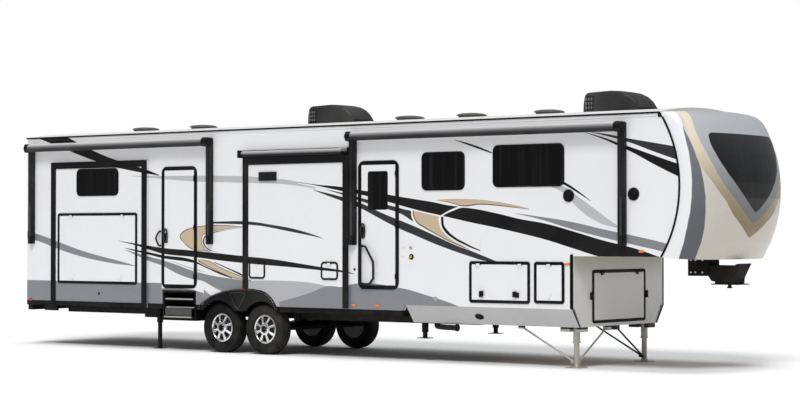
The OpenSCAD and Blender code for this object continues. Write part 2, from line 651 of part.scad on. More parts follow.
// Awning: a roller with its cloth between two folded arms.
roller_z = 3300;
module awning(x0, x1) on_right() {
    for (x = [x0, x1 - 110]) {
        slab(0, 60) round_box([x, x + 110, 1690, roller_z + 60], 20);
        slab(0, 85) round_box([x + 25, x + 85, 1690, 1830], 15);
        slab(0, roller_off + 50) round_box([x + 15, x + 105, roller_z - 75, roller_z + 70], 30);
    }
    translate([x0 + 105, roller_z, roller_off]) rotate([0, 90, 0])
        cylinder(r = roller_r, h = x1 - x0 - 210);
}
module rear_awning() color(black) from_rear() awning(85, 4300);
module front_awning() color(black) from_rear() awning(7090, 11868);

unit_x = [5900, 11030];
unit_z = roof_z + crown + eps;
module air_conditioners() color(black) from_rear() for (x = unit_x) translate([x, 0, 0])
    rotate([90, 0, 0]) translate([0, 0, -300]) linear_extrude(600) polygon([
        [-440, unit_z], [-455, roof_z + 150], [-430, roof_z + 370], [-60, roof_z + 400],
        [130, roof_z + 395], [250, roof_z + 360], [360, roof_z + 290], [445, roof_z + 160],
        [450, unit_z]]);
vent_x = [1600, 2940, 7250, 8420, 9810];
module roof_vents() color(black) from_rear() for (x = vent_x) translate([x, 0, unit_z]) {
    translate([-145, -145, 0]) cube([290, 290, 40]);
    hull() {
        translate([-165, -165, 40]) cube([330, 330, 8]);
        translate([-100, -100, 78]) cube([200, 200, 6]);
    }
}

// Entry step: a folded pair of treads in a carrier below the rear door.
step_x = step_well[0] + 12;
step_w = step_well[1] - step_well[0] - 24;
step_low = 480;
module entry_step() color(black) from_rear() {
    translate([step_x, -half_w + 4, step_low]) difference() {
        cube([step_w, 340, rail_top - step_low]);
        translate([25, -1, 20]) cube([step_w - 50, 316, rail_top - step_low - 40]);
    }
    for (p = [[505, -30], [655, 30], [790, 10]]) translate([step_x + 20, -half_w + 4 + p[1], p[0]])
        cube([step_w - 40, 240, 40]);
}
speaker_spots = [[10940, 2380], [11978, 2390]];
port_spots = [[8070, 1640, 26], [8210, 1650, 26], [8210, 1520, 40], [8670, 920, 30]];
module wall_fittings() color(black) from_rear() on_right() {
    for (p = speaker_spots) translate([p[0], p[1], 0]) {
        cylinder(r = 88, h = 14);
        cylinder(r = 70, h = 24);
    }
    for (p = port_spots) translate([p[0], p[1], 0]) cylinder(r = p[2], h = 16);
    for (z = [1700, 1900]) translate([3130, z, 0]) cylinder(r = 12, h = 80);
    translate([3130, 1688, 80]) rotate([-90, 0, 0]) cylinder(r = 12, h = 224);
}

// Tyre section: radius against half width, from the bead over the sidewall to the tread.
bead_r = 212;
module tyre() rotate_extrude($fn = 72) {
    half = tyre_w / 2;
    side = [[bead_r, 92], [bead_r + 22, 100], [bead_r + 70, half - 2], [bead_r + 105, half],
        [tyre_r - 32, half - 9], [tyre_r - 10, half - 22], [tyre_r, half - 42]];
    polygon(concat(side, [for (i = [len(side) - 1:-1:0]) [side[i][0], -side[i][1]]]));
}
rim_half = 92;
module rim() {
    rotate_extrude($fn = 96) polygon([[bead_r - 22, -rim_half], [bead_r - eps, -rim_half],
        [bead_r - eps, rim_half + 4], [bead_r + 9, rim_half + 11], [bead_r - 6, rim_half + 16],
        [bead_r - 22, rim_half - 6]]);
    slab(rim_face - 25, rim_face) difference() {
        union() {
            circle(88);
            for (i = [0:7]) rotate(45 * i) translate([60, -20]) square([bead_r - 80, 40]);
            difference() {
                circle(bead_r - 21);
                circle(bead_r - 40);
            }
        }
        circle(hub_r + eps);
    }
}
// A wheel's place: its axle and its side, with the disc facing outwards.
module at_wheel(i, side) from_rear() translate([axle_x + i * axle_gap, side * track_half, tyre_r])
    rotate([side < 0 ? 90 : -90, 0, 0]) children();
module tyre_rear_right() color(black) at_wheel(0, -1) tyre();
module tyre_front_right() color(black) at_wheel(1, -1) tyre();
module tyre_rear_left() color(black) at_wheel(0, 1) tyre();
module tyre_front_left() color(black) at_wheel(1, 1) tyre();
module rim_rear_right() color(steel) at_wheel(0, -1) rim();
module rim_front_right() color(steel) at_wheel(1, -1) rim();
module rim_rear_left() color(steel) at_wheel(0, 1) rim();
module rim_front_left() color(steel) at_wheel(1, 1) rim();

right_wall();
left_wall();
rear_wall();
roof();
main_floor();
deck_floor();
nose_wall();
front_cap();
chamfer_skirts();
edge_trims();
fender_skirts();
frame_rails();
crossmembers();
underbelly();
axles();
leaf_springs();
landing_legs();
leg_braces();
stabilizer_jacks();
pin_box();
bumper();
ladder();
tail_lamps();
marker_lamps();
window_frames();
window_glass();
door_frames();
rear_awning();
front_awning();
air_conditioners();
roof_vents();
entry_step();
wall_fittings();
rear_entry_door();
front_entry_door();
front_entry_glass();
wide_cargo_door();
narrow_cargo_door();
left_cargo_door();
nose_door();
rear_slide();
rear_slide_trim();
rear_slide_glass();
galley_hatch();
middle_slide();
middle_slide_trim();
access_door_a();
access_door_b();
left_slide();
left_slide_trim();
left_slide_glass();
tyre_rear_right();
tyre_front_right();
tyre_rear_left();
tyre_front_left();
rim_rear_right();
rim_front_right();
rim_rear_left();
rim_front_left();
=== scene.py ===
# %% [markdown]
# A fifth wheel trailer, from the inside out. The CAD frame gives every wall, door and wheel its place.
# This lesson gives the frame its looks: worked-out surfaces for rubber, alloy, cloth and lamps, and
# procedural paint for the sweeping bands on its sides.

# %% Load the frame
import json
import math
import bmesh
import bpy
import numpy as np
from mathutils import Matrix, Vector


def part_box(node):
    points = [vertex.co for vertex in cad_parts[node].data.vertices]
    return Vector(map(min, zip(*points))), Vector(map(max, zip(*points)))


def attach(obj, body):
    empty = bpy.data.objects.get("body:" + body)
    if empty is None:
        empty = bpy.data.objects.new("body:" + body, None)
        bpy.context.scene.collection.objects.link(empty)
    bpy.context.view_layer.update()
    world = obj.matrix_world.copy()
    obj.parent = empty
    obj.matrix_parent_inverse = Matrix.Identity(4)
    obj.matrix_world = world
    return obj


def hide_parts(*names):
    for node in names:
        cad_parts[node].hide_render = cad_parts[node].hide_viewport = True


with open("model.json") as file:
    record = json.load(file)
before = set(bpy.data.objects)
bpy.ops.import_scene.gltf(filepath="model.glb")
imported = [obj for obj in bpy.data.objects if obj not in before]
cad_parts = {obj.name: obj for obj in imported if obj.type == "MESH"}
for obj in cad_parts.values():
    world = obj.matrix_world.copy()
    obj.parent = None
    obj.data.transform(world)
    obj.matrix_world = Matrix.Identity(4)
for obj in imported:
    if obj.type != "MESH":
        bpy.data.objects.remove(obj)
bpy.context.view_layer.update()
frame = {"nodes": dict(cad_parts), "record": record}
slot_of = {s["node"]: s["material_slot"] for s in frame["record"]["subparts"]}
REAR = -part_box("rear_wall")[0][0]  # the rear wall stands this far behind the frame's origin

# %% [markdown]
# Paint is a small graph of nodes. The helper below keeps each graph short to read: every method adds
# one node, links what it is given and returns the output socket.

# %% A helper for procedural paint
class Paint:
    """One material. x, y, z are the object coordinates in metres; x is measured from the rear wall."""

    def __init__(self, name):
        self.mat = bpy.data.materials.new(name)
        self.mat.use_nodes = True
        self.tree = self.mat.node_tree
        self.bsdf = self.tree.nodes["Principled BSDF"]
        self.pos = self.tree.nodes.new("ShaderNodeTexCoord").outputs["Object"]
        split = self.tree.nodes.new("ShaderNodeSeparateXYZ")
        self.tree.links.new(self.pos, split.inputs[0])
        self.x = self.math("ADD", split.outputs[0], REAR)
        self.y, self.z = split.outputs[1], split.outputs[2]

    def put(self, socket, value):
        """Link a socket, or set a plain value."""
        if isinstance(value, bpy.types.NodeSocket):
            self.tree.links.new(value, socket)
        else:
            socket.default_value = value

    def math(self, op, a, b=0.0, clamp=False):
        """One Math node."""
        node = self.tree.nodes.new("ShaderNodeMath")
        node.operation, node.use_clamp = op, clamp
        self.put(node.inputs[0], a)
        self.put(node.inputs[1], b)
        return node.outputs[0]

    def span(self, value, low, high, first=0.0, last=1.0, smooth=False):
        """Map value from low..high to first..last, held at the ends."""
        node = self.tree.nodes.new("ShaderNodeMapRange")
        node.interpolation_type = "SMOOTHSTEP" if smooth else "LINEAR"
        for socket, v in zip(node.inputs, (value, low, high, first, last)):
            self.put(socket, v)
        return node.outputs[0]

    def mix(self, share, a, b, blend="MIX"):
        """Mix two colours."""
        node = self.tree.nodes.new("ShaderNodeMix")
        node.data_type, node.blend_type = "RGBA", blend
        for k, v in ((0, share), (6, a), (7, b)):
            self.put(node.inputs[k], v if isinstance(v, (float, bpy.types.NodeSocket)) else (*v[:3], 1))
        return node.outputs[2]

    def noise(self, scale, detail=3.0, stretch=(1, 1, 1)):
        """Noise with this many waves a metre, stretched by a Mapping node."""
        mapping = self.tree.nodes.new("ShaderNodeMapping")
        mapping.inputs["Scale"].default_value = stretch
        self.put(mapping.inputs[0], self.pos)
        node = self.tree.nodes.new("ShaderNodeTexNoise")
        self.put(node.inputs["Vector"], mapping.outputs[0])
        node.inputs["Scale"].default_value = scale
        node.inputs["Detail"].default_value = detail
        return node.outputs[0]

    def curve(self, along, start, end, points, scale):
        """A smooth curve through (position, value) points, read at along; value is scaled by scale."""
        node = self.tree.nodes.new("ShaderNodeFloatCurve")
        line = node.mapping.curves[0]
        pairs = [((p - start) / (end - start), v / scale) for p, v in points]
        for k, (p, v) in enumerate(pairs):
            if k < 2:
                line.points[k].location = (p, v)
            else:
                line.points.new(p, v)
        node.mapping.update()
        self.put(node.inputs["Value"], self.span(along, start, end))
        return self.math("MULTIPLY", node.outputs[0], scale)

    def between(self, value, low, high, soft=0.004):
        """1 where low < value < high, with an edge this soft."""
        up = self.span(self.math("SUBTRACT", value, low), -soft / 2, soft / 2)
        down = self.span(self.math("SUBTRACT", high, value), -soft / 2, soft / 2)
        return self.math("MULTIPLY", up, down)

    def finish(self, color, rough, metal=0.0, vary=0.06, bump=0.02, grain=60.0, coat=0.0, dust=0.15, shine=0.5):
        """Close the graph: broad mottling, dust that settles low, uneven gloss and a fine bump. Dark paint is
        matt vinyl, so its shine is a quarter of a pale one's."""
        broad = self.noise(1.3, 4.0)
        fine = self.noise(grain, 5.0)
        soiled = self.mix(self.math("MULTIPLY", self.span(broad, 0.35, 0.75), vary * 2.0), color,
                          (0.30, 0.28, 0.25))
        low = self.math("MULTIPLY", self.span(self.z, 1.1, 0.1), self.span(self.noise(7.0, 6.0), 0.4, 0.7))
        soiled = self.mix(self.math("MULTIPLY", low, dust), soiled, (0.34, 0.31, 0.27))
        self.put(self.bsdf.inputs["Base Color"], soiled)
        self.put(self.bsdf.inputs["Roughness"], self.span(fine, 0.3, 0.7, rough * 0.85, min(rough * 1.2, 1.0)))
        self.bsdf.inputs["Metallic"].default_value = metal
        self.bsdf.inputs["Coat Weight"].default_value = coat
        tone = self.tree.nodes.new("ShaderNodeRGBToBW")
        self.put(tone.inputs[0], soiled)
        self.put(self.bsdf.inputs["Specular IOR Level"], self.span(tone.outputs[0], .02, .2, shine * .25, shine))
        self.bsdf.inputs["Coat Roughness"].default_value = 0.08
        node = self.tree.nodes.new("ShaderNodeBump")
        node.inputs["Strength"].default_value = 0.25
        node.inputs["Distance"].default_value = bump * 0.05
        self.put(node.inputs["Height"], fine)
        self.put(self.bsdf.inputs["Normal"], node.outputs[0])
        return self.mat


# %% [markdown]
# The sides carry long tapering bands. Each band is a row of stations: a distance from the rear wall,
# then the heights of the band's lower and upper edge there. Two smooth curves run through the
# stations, and the paint lies between them.

# %% Bands on the sides
WHITE, BLACK, CHARCOAL = (0.80, 0.80, 0.81), (0.006, 0.006, 0.0065), (0.030, 0.030, 0.033)
GREY, SILVER, TAN = (0.215, 0.220, 0.235), (0.47, 0.47, 0.475), (0.545, 0.425, 0.295)
BROWN = (0.10, 0.075, 0.055)
bands = [
    # the lower band, broken by the entry step's well and a white wedge ahead of it
    (GREY, [(-0.05, .60, 1.075), (2.9, .60, 1.07), (3.175, .60, 1.07)]),
    (GREY, [(3.175, .60, .985), (3.82, .60, .976), (3.98, .60, .947), (4.17, .60, .908), (4.35, .60, .87)]),
    ((.27, .275, .29), [(4.05, .85, 1.127), (4.45, .85, 1.127), (4.95, .85, 1.124)]),
    ((.42, .42, .43), [(4.95, .60, 1.13), (5.9, .60, 1.14), (6.3, .60, 1.12), (6.64, .60, 1.07)]),
    (GREY, [(5.68, .60, .82), (5.9, .60, .87), (6.3, .60, .97), (6.62, .60, 1.07), (7.0, .60, 1.075),
            (7.06, .60, 1.10), (8.0, .60, 1.07), (8.5, .60, .97), (9.13, .60, .80), (9.3, .60, .72)]),
    # the rear quarter
    (GREY, [(-.05, 1.79, 1.905), (.234, 1.744, 1.857), (.744, 1.612, 1.733), (1.31, 1.486, 1.588),
            (1.82, 1.407, 1.486), (2.2, 1.365, 1.42), (2.6, 1.336, 1.342)]),
    (BLACK, [(.27, 3.47, 3.6), (.55, 3.385, 3.6), (.9, 3.28, 3.50), (1.25, 3.17, 3.36), (1.6, 3.07, 3.23),
             (2.0, 2.97, 3.10), (2.5, 2.88, 2.97), (2.8, 2.835, 2.90), (3.12, 2.79, 2.80)]),
    (SILVER, [(2.5, 2.79, 2.80), (2.8, 2.77, 2.79), (3.2, 2.735, 2.785), (4.0, 2.68, 2.775),
              (4.5, 2.665, 2.765), (5.0, 2.645, 2.747), (5.6, 2.625, 2.70), (5.9, 2.60, 2.67),
              (6.2, 2.565, 2.61), (6.4, 2.53, 2.555)]),
    # the left crescent, from its outline inwards
    (BROWN, [(3.57, 1.81, 1.825), (3.60, 1.765, 1.865), (3.65, 1.725, 1.90), (3.75, 1.65, 1.935),
             (3.9, 1.60, 1.967), (4.06, 1.59, 1.985), (4.32, 1.57, 1.996), (4.61, 1.55, 1.99),
             (4.93, 1.53, 1.968)]),
    (TAN, [(3.585, 1.81, 1.825), (3.62, 1.765, 1.86), (3.67, 1.722, 1.89), (3.77, 1.655, 1.925),
           (3.9, 1.61, 1.955), (4.06, 1.60, 1.975), (4.32, 1.58, 1.986), (4.61, 1.56, 1.98),
           (4.93, 1.54, 1.964)]),
    (BROWN, [(4.04, 1.76, 1.77), (4.055, 1.69, 1.82), (4.11, 1.63, 1.86), (4.2, 1.58, 1.887),
             (4.45, 1.55, 1.922), (4.66, 1.53, 1.945), (4.93, 1.50, 1.963)]),
    (WHITE, [(4.05, 1.76, 1.77), (4.065, 1.70, 1.815), (4.12, 1.635, 1.853), (4.2, 1.585, 1.88),
             (4.45, 1.55, 1.915), (4.66, 1.53, 1.94), (4.93, 1.50, 1.96)]),
    (BLACK, [(4.072, 1.74, 1.75), (4.09, 1.69, 1.79), (4.13, 1.645, 1.83), (4.2, 1.60, 1.862),
             (4.32, 1.58, 1.888), (4.5, 1.55, 1.912), (4.66, 1.53, 1.932), (4.93, 1.50, 1.957)]),
    (WHITE, [(4.105, 1.735, 1.75), (4.12, 1.69, 1.79), (4.16, 1.645, 1.82), (4.22, 1.61, 1.85),
             (4.35, 1.58, 1.880), (4.5, 1.55, 1.904), (4.66, 1.53, 1.927), (4.93, 1.49, 1.955)]),
    (CHARCOAL, [(4.2, 2.02, 2.045), (4.6, 2.012, 2.053), (4.93, 2.002, 2.053), (5.24, 1.985, 2.032),
                (5.49, 1.954, 2.0), (5.89, 1.892, 1.946), (6.3, 1.83, 1.86), (6.55, 1.785, 1.79)]),
    # the fan that opens behind the wheels
    (GREY, [(2.35, 1.60, 1.605), (2.6, 1.515, 1.55), (2.92, 1.412, 1.484), (3.18, 1.35, 1.438),
            (3.52, 1.226, 1.361), (3.84, 1.143, 1.277), (4.08, 1.11, 1.232), (4.28, 1.03, 1.20),
            (4.45, 1.01, 1.182), (4.74, 1.0, 1.155), (4.95, 1.0, 1.134)]),
    ((.45, .45, .46), [(3.35, 1.425, 1.43), (3.6, 1.36, 1.375), (3.85, 1.295, 1.315), (4.1, 1.25, 1.26)]),
    (WHITE, [(3.95, 1.085, 1.128), (4.08, 1.0, 1.111), (4.23, .90, 1.054), (4.36, .88, 1.0),
             (4.48, .88, .96)]),
    (WHITE, [(3.80, .982, 1.14), (3.95, .955, 1.13), (4.10, .925, 1.10)]),
    (BLACK, [(2.2, 1.74, 1.745), (2.6, 1.67, 1.70), (2.92, 1.597, 1.661), (3.18, 1.542, 1.633),
             (3.87, 1.491, 1.593), (4.45, 1.44, 1.549), (4.93, 1.405, 1.513), (5.5, 1.373, 1.472),
             (6.0, 1.345, 1.418), (6.5, 1.31, 1.359), (6.9, 1.285, 1.315), (7.15, 1.26, 1.265)]),
    (BLACK, [(2.35, 1.625, 1.63), (2.6, 1.575, 1.60), (2.92, 1.516, 1.557), (3.18, 1.47, 1.518),
             (3.84, 1.404, 1.451), (3.95, 1.384, 1.416), (4.15, 1.32, 1.343), (4.43, 1.229, 1.255),
             (4.70, 1.163, 1.173)]),
    (BROWN, [(3.98, 1.418, 1.453), (4.23, 1.326, 1.426), (4.45, 1.248, 1.336), (4.70, 1.174, 1.256),
             (4.91, 1.143, 1.196), (5.10, 1.128, 1.140)]),
    (TAN, [(4.00, 1.430, 1.447), (4.23, 1.338, 1.416), (4.45, 1.26, 1.324), (4.70, 1.186, 1.245),
           (4.91, 1.151, 1.186), (5.08, 1.133, 1.139)]),
    (BLACK, [(4.32, 1.405, 1.42), (4.66, 1.291, 1.312), (4.91, 1.203, 1.230), (5.05, 1.148, 1.155)]),
    # the right crescent with the arc of white that crosses the main band
    (CHARCOAL, [(6.6, 2.52, 2.525), (7.0, 2.42, 2.45), (7.5, 2.28, 2.34), (7.99, 2.161, 2.237),
                (8.10, 2.117, 2.211), (8.2, 2.06, 2.192), (8.27, 2.03, 2.15)]),
    (WHITE, [(8.215, 2.12, 2.30), (8.27, 2.02, 2.30), (8.41, 1.92, 2.25), (8.65, 1.82, 2.2),
             (8.86, 1.735, 2.1), (9.08, 1.66, 1.9), (9.3, 1.61, 1.7), (9.5, 1.575, 1.6)]),
    (BROWN, [(8.245, 2.13, 2.30), (8.30, 2.035, 2.30), (8.44, 1.95, 2.25), (8.65, 1.855, 2.2),
             (8.86, 1.763, 2.1), (9.08, 1.685, 1.9), (9.3, 1.625, 1.7), (9.5, 1.585, 1.6)]),
    (TAN, [(8.262, 2.14, 2.30), (8.31, 2.052, 2.30), (8.45, 1.966, 2.25), (8.65, 1.870, 2.2),
           (8.86, 1.777, 2.1), (9.08, 1.70, 1.9), (9.3, 1.64, 1.7), (9.48, 1.60, 1.61)]),
    (WHITE, [(6.05, 2.62, 2.63), (6.9, 2.475, 2.50), (7.5, 2.38, 2.41), (7.99, 2.255, 2.29),
             (8.47, 2.152, 2.19), (8.83, 2.085, 2.12), (9.2, 2.02, 2.06)]),
    (BLACK, [(6.05, 2.64, 2.645), (6.4, 2.585, 2.60), (6.9, 2.497, 2.556), (7.2, 2.45, 2.512),
             (7.6, 2.37, 2.46), (7.99, 2.278, 2.402), (8.38, 2.19, 2.347), (8.65, 2.14, 2.308),
             (8.86, 2.10, 2.270), (9.10, 2.054, 2.242), (9.24, 2.03, 2.224)]),
    (WHITE, [(8.708, 2.06, 2.075), (8.73, 1.975, 2.105), (8.80, 1.88, 2.145), (8.94, 1.78, 2.206),
             (9.11, 1.70, 2.256), (9.24, 1.645, 2.27), (9.5, 1.57, 2.25)]),
    (BLACK, [(8.755, 2.04, 2.10), (8.765, 1.98, 2.10), (8.81, 1.905, 2.10), (8.93, 1.812, 2.05),
             (9.15, 1.71, 2.0), (9.45, 1.61, 1.8)]),
    (WHITE, [(8.80, 2.03, 2.12), (8.81, 1.985, 2.12), (8.85, 1.93, 2.12), (8.96, 1.838, 2.08),
             (9.17, 1.735, 2.0), (9.45, 1.626, 1.85)]),
    (BLACK, [(8.79, 2.11, 2.115), (8.86, 2.10, 2.15), (8.98, 2.077, 2.190), (9.12, 2.05, 2.228),
             (9.24, 2.027, 2.224), (9.71, 1.946, 2.150), (10.13, 1.866, 2.064), (10.55, 1.778, 2.0),
             (11, 1.66, 1.894), (11.5, 1.53, 1.767), (12, 1.44, 1.66), (12.4, 1.40, 1.54)]),
    (CHARCOAL, [(6.35, 2.515, 2.52), (6.9, 2.35, 2.41), (7.2, 2.262, 2.335), (7.73, 2.04, 2.144),
                (7.99, 1.935, 2.059), (8.25, 1.847, 1.975), (8.65, 1.711, 1.831), (9.01, 1.604, 1.697),
                (9.27, 1.535, 1.62), (9.5, 1.48, 1.546), (9.75, 1.455, 1.462)]),
    (BROWN, [(8.68, 2.338, 2.345), (8.83, 2.316, 2.353), (9.0, 2.280, 2.355), (9.12, 2.25, 2.353),
             (9.45, 2.268, 2.338), (9.71, 2.254, 2.309), (9.96, 2.230, 2.272), (10.28, 2.197, 2.207)]),
    (TAN, [(8.69, 2.338, 2.345), (8.83, 2.325, 2.351), (9.0, 2.290, 2.353), (9.12, 2.265, 2.351),
           (9.45, 2.283, 2.336), (9.71, 2.268, 2.305), (9.96, 2.242, 2.268), (10.27, 2.201, 2.206)]),
    # round the front windows and up to the cap
    (BLACK, [(8.99, 3.20, 3.205), (9.3, 3.10, 3.13), (9.65, 2.99, 3.01)]),
    (BLACK, [(10.80, 2.56, 2.60), (10.95, 2.49, 2.53), (11.1, 2.41, 2.44), (11.3, 2.30, 2.305)]),
    (SILVER, [(10.66, 2.50, 2.505), (10.85, 2.42, 2.51), (11.1, 2.20, 2.36), (11.4, 2.02, 2.17),
              (11.65, 1.95, 2.01), (11.8, 1.92, 1.93)]),
    (GREY, [(10.05, 2.14, 2.145), (10.5, 2.05, 2.09), (11, 1.918, 2.018), (11.5, 1.806, 1.918),
            (12, 1.706, 1.827), (12.43, 1.62, 1.74), (12.64, 1.575, 1.69)]),
    (CHARCOAL, [(11.3, 3.24, 3.245), (11.6, 3.17, 3.20), (11.9, 3.09, 3.14), (12.3, 2.95, 3.07),
                (12.7, 2.82, 3.0)]),
    (BLACK, [(11.2, 3.24, 3.245), (11.5, 3.14, 3.165), (11.75, 3.04, 3.08), (12.0, 2.93, 3.0),
             (12.3, 2.78, 2.90), (12.7, 2.60, 2.77)]),
]


def paint_bands(paint, color):
    """Lay every band over a base colour, in order, on both sides of the trailer.
    A panel that stands out from the wall reads the bands a little further forward."""
    proud = paint.math("MAXIMUM", paint.math("SUBTRACT", paint.math("ABSOLUTE", paint.y), 1.22), 0.0)
    along = paint.math("SUBTRACT", paint.x, paint.math("MULTIPLY", proud, 0.78))
    for band_color, stations in bands:
        start, end = stations[0][0], stations[-1][0]
        low = paint.curve(along, start, end, [(s[0], s[1]) for s in stations], 4.0)
        high = paint.curve(along, start, end, [(s[0], s[2]) for s in stations], 4.0)
        inside = paint.math("MULTIPLY", paint.between(paint.z, low, high),
                            paint.between(along, start, end, 0.003))
        color = paint.mix(inside, color, band_color)
    return color


print(len(bands), "bands of", sum(len(b[1]) for b in bands), "stations")

# %% [markdown]
# The cap's bands run across it, so each is bounded by a distance from the middle plane that changes
# with height.

# %% Bands on the cap
# Each band: its colour at the top, its colour at the foot, darkened there as painted shade, then (height, half width)
# points of its edge.
cap_edges = [
    ((.17, .18, .20), (.10, .105, .12), [(1.50, 1.135), (1.57, 1.146), (1.86, 1.173), (2.19, 1.180),
                                         (2.62, 1.180), (2.91, 1.176), (3.24, 1.160), (3.35, 1.134),
                                         (3.53, 1.11)]),
    ((.62, .60, .57), (.56, .52, .46), [(1.50, .950), (1.86, .993), (2.19, 1.036), (2.50, 1.072),
                                        (2.81, 1.106), (3.03, 1.133), (3.30, 1.149), (3.53, 1.11)]),
    ((.76, .67, .53), (.20, .145, .055), [(1.80, 0.0), (1.88, .16), (2.02, .40), (2.12, .56), (2.24, .68),
                                         (2.50, .93), (2.79, 1.10), (3.03, 1.128), (3.53, 1.10)]),
    ((.44, .455, .475), (.105, .11, .12), [(1.99, 0.0), (2.07, .17), (2.16, .32), (2.33, .57), (2.59, .83),
                                         (2.80, .94), (3.0, 1.01), (3.24, 1.035), (3.53, .97)]),
    ((.016, .017, .019), (.002, .002, .0025), [(2.14, 0.0), (2.25, .19), (2.43, .43), (2.58, .60),
                                              (2.72, .73), (2.95, .86), (3.10, .885), (3.17, .87),
                                              (3.205, .80)]),
]


def paint_cap(paint):
    """Colour across the cap: nested bands, each narrower than the last and darker towards its foot, where the darkening
    is painted shade on the cap's lower front.
    """
    across = paint.math("ABSOLUTE", paint.y)
    up = paint.span(paint.z, 1.9, 3.4, smooth=True)
    color = paint.mix(1.0, WHITE, WHITE)
    for top, foot, points in cap_edges:
        start, end = points[0][0], points[-1][0]
        edge = paint.curve(paint.z, start, end, points, 1.25)
        inside = paint.math("MULTIPLY", paint.between(across, -1.0, edge, 0.005),
                            paint.between(paint.z, start, end, 0.004))
        color = paint.mix(inside, color, paint.mix(up, foot, top))
    return color


# %% [markdown]
# Every slot of the record gets one paint. The numbers are a base colour, how rough it is, whether it
# is metal, how much it varies, how deep its grain is and how fine.

# %% Materials for the slots
plain = {
    "grey_panel": ((0.50, 0.50, 0.51), 0.38, 0, .10, .05, 40, .1, .4),
    "black_trim": ((0.0045, 0.0045, 0.005), 0.42, 0, .02, .05, 90, 0, .22),
    "tyre_rubber": ((0.0075, 0.0075, 0.008), 0.80, 0, .05, .30, 140, 0, .2),
    "wheel_alloy": ((0.66, 0.67, 0.68), 0.20, 1, .06, .03, 120, .1, .5),
    "chassis_black": ((0.0045, 0.0045, 0.005), 0.60, 0, .03, .20, 80, 0, .2),
    "bare_metal": ((0.50, 0.49, 0.47), 0.36, .8, .10, .05, 150, 0, .4),
    "black_plastic": ((0.0065, 0.0065, 0.007), 0.50, 0, .03, .15, 160, 0, .3),
    "red_lens": ((0.42, 0.012, 0.008), 0.14, 0, .04, .02, 50, .6, .5),
    "amber_lens": ((0.85, 0.16, 0.012), 0.14, 0, .04, .02, 50, .6, .5),
    "floor_panel": ((0.26, 0.17, 0.10), 0.50, 0, .20, .10, 30, .1, .5),
    "roof_membrane": ((0.70, 0.70, 0.69), 0.62, 0, .20, .20, 25, 0, .4),
}
materials = {}
for slot, (color, rough, metal, vary, bump, grain, coat, shine) in plain.items():
    paint = Paint(slot)
    materials[slot] = paint.finish(paint.mix(1.0, color, color), rough, metal, vary, bump, grain, coat,
                                   dust=0.06 if max(color) < 0.05 else 0.15, shine=shine)

# %% [markdown]
# Some slots need more than one tone. Whatever stands out from a door's face, such as its handle and latches, is
# black; an awning's roller is pale along its top, a painted highlight; a landing leg is black above its tube.

# %% Materials with masks
BLACK_PART = (0.005, 0.005, 0.0055)
for slot in ("wall_gelcoat", "slide_gelcoat"):
    paint = Paint(slot)
    depth = paint.math("ABSOLUTE", paint.y)
    sides = paint_bands(paint, paint.mix(1.0, WHITE, WHITE))
    color = paint.mix(paint.span(depth, 1.18, 1.20), WHITE, sides)
    if slot == "wall_gelcoat":
        hinges = paint.math("MAXIMUM", paint.between(paint.x, 3.80, 4.0), paint.between(paint.x, 7.84, 8.05))
        hatches = paint.math("MULTIPLY", paint.between(paint.x, 9.2, 10.9), paint.span(paint.z, 1.20, 1.21))
        narrow = paint.between(paint.x, 10.35, 10.9)
        white_part = paint.math("MAXIMUM", paint.math("MAXIMUM", hinges, hatches), narrow)
        black_part = paint.math("MULTIPLY", paint.span(depth, 1.2295, 1.230),
                                paint.math("SUBTRACT", 1.0, white_part))
        color = paint.mix(black_part, color, BLACK_PART)
        for x0, x1, z0, z1 in ((3.243, 3.887, 1.053, 2.867), (7.293, 7.927, 1.103, 2.872)):
            leaf = paint.math("MULTIPLY", paint.between(paint.x, x0 - .04, x1 + .04),
                              paint.span(depth, 1.224, 1.2245))
            within = paint.math("MULTIPLY", paint.between(paint.x, x0, x1), paint.between(paint.z, z0, z1))
            color = paint.mix(paint.math("MULTIPLY", leaf, paint.math("SUBTRACT", 1.0, within)), color,
                              BLACK_PART)
    materials[slot] = paint.finish(color, 0.30, 0, .02, .02, 45, .12, shine=.35)

paint = Paint("cap_gelcoat")
materials["cap_gelcoat"] = paint.finish(paint_cap(paint), 0.30, 0, .02, .02, 35, .15, shine=.35)
paint.bsdf.inputs["Coat Roughness"].default_value = 0.30

paint = Paint("nose_gelcoat")
# The nose is painted grey, and darker and greener towards the top: painted shade under the cap's overhang.
shade = paint.mix(paint.span(paint.z, 1.15, 1.55, smooth=True), (.62, .62, .62), (.40, .41, .34))
color = paint.mix(paint.span(paint.x, 11.0, 11.003), shade, BLACK_PART)
materials["nose_gelcoat"] = paint.finish(color, 0.34, 0, .04, .03, 40, .1)

paint = Paint("awning_metal")
# The roller turns pale towards its top: a painted highlight over the dark awning metal.
tube = paint.math("POWER", paint.span(paint.z, 3.262, 3.366), 2.2)
cloth = paint.math("MAXIMUM", paint.between(paint.x, .19, 4.19), paint.between(paint.x, 7.2, 11.76))
cloth = paint.math("MULTIPLY", cloth, paint.span(paint.math("ABSOLUTE", paint.y), 1.26, 1.262))
color = paint.mix(paint.math("MULTIPLY", tube, cloth), (.010, .010, .011), (.74, .74, .75))
materials["awning_metal"] = paint.finish(color, 0.38, 0, .05, .05, 70, .1, shine=.3)

paint = Paint("leg_metal")
color = paint.mix(paint.span(paint.z, 0.545, 0.55), (.42, .40, .36), BLACK_PART)
materials["leg_metal"] = paint.finish(color, 0.42, .3, .12, .06, 90, 0, shine=.4)

paint = Paint("tinted_glass")
folds = paint.noise(9.0, 2.0, (1.0, 0.0, 0.03))
color = paint.mix(paint.span(folds, 0.52, 0.70), (.003, .003, .0035), (.013, .013, .014))
materials["tinted_glass"] = paint.finish(color, 0.08, 0, .0, .005, 20, .15, dust=0.01, shine=.35)

paint = Paint("alloy_face")
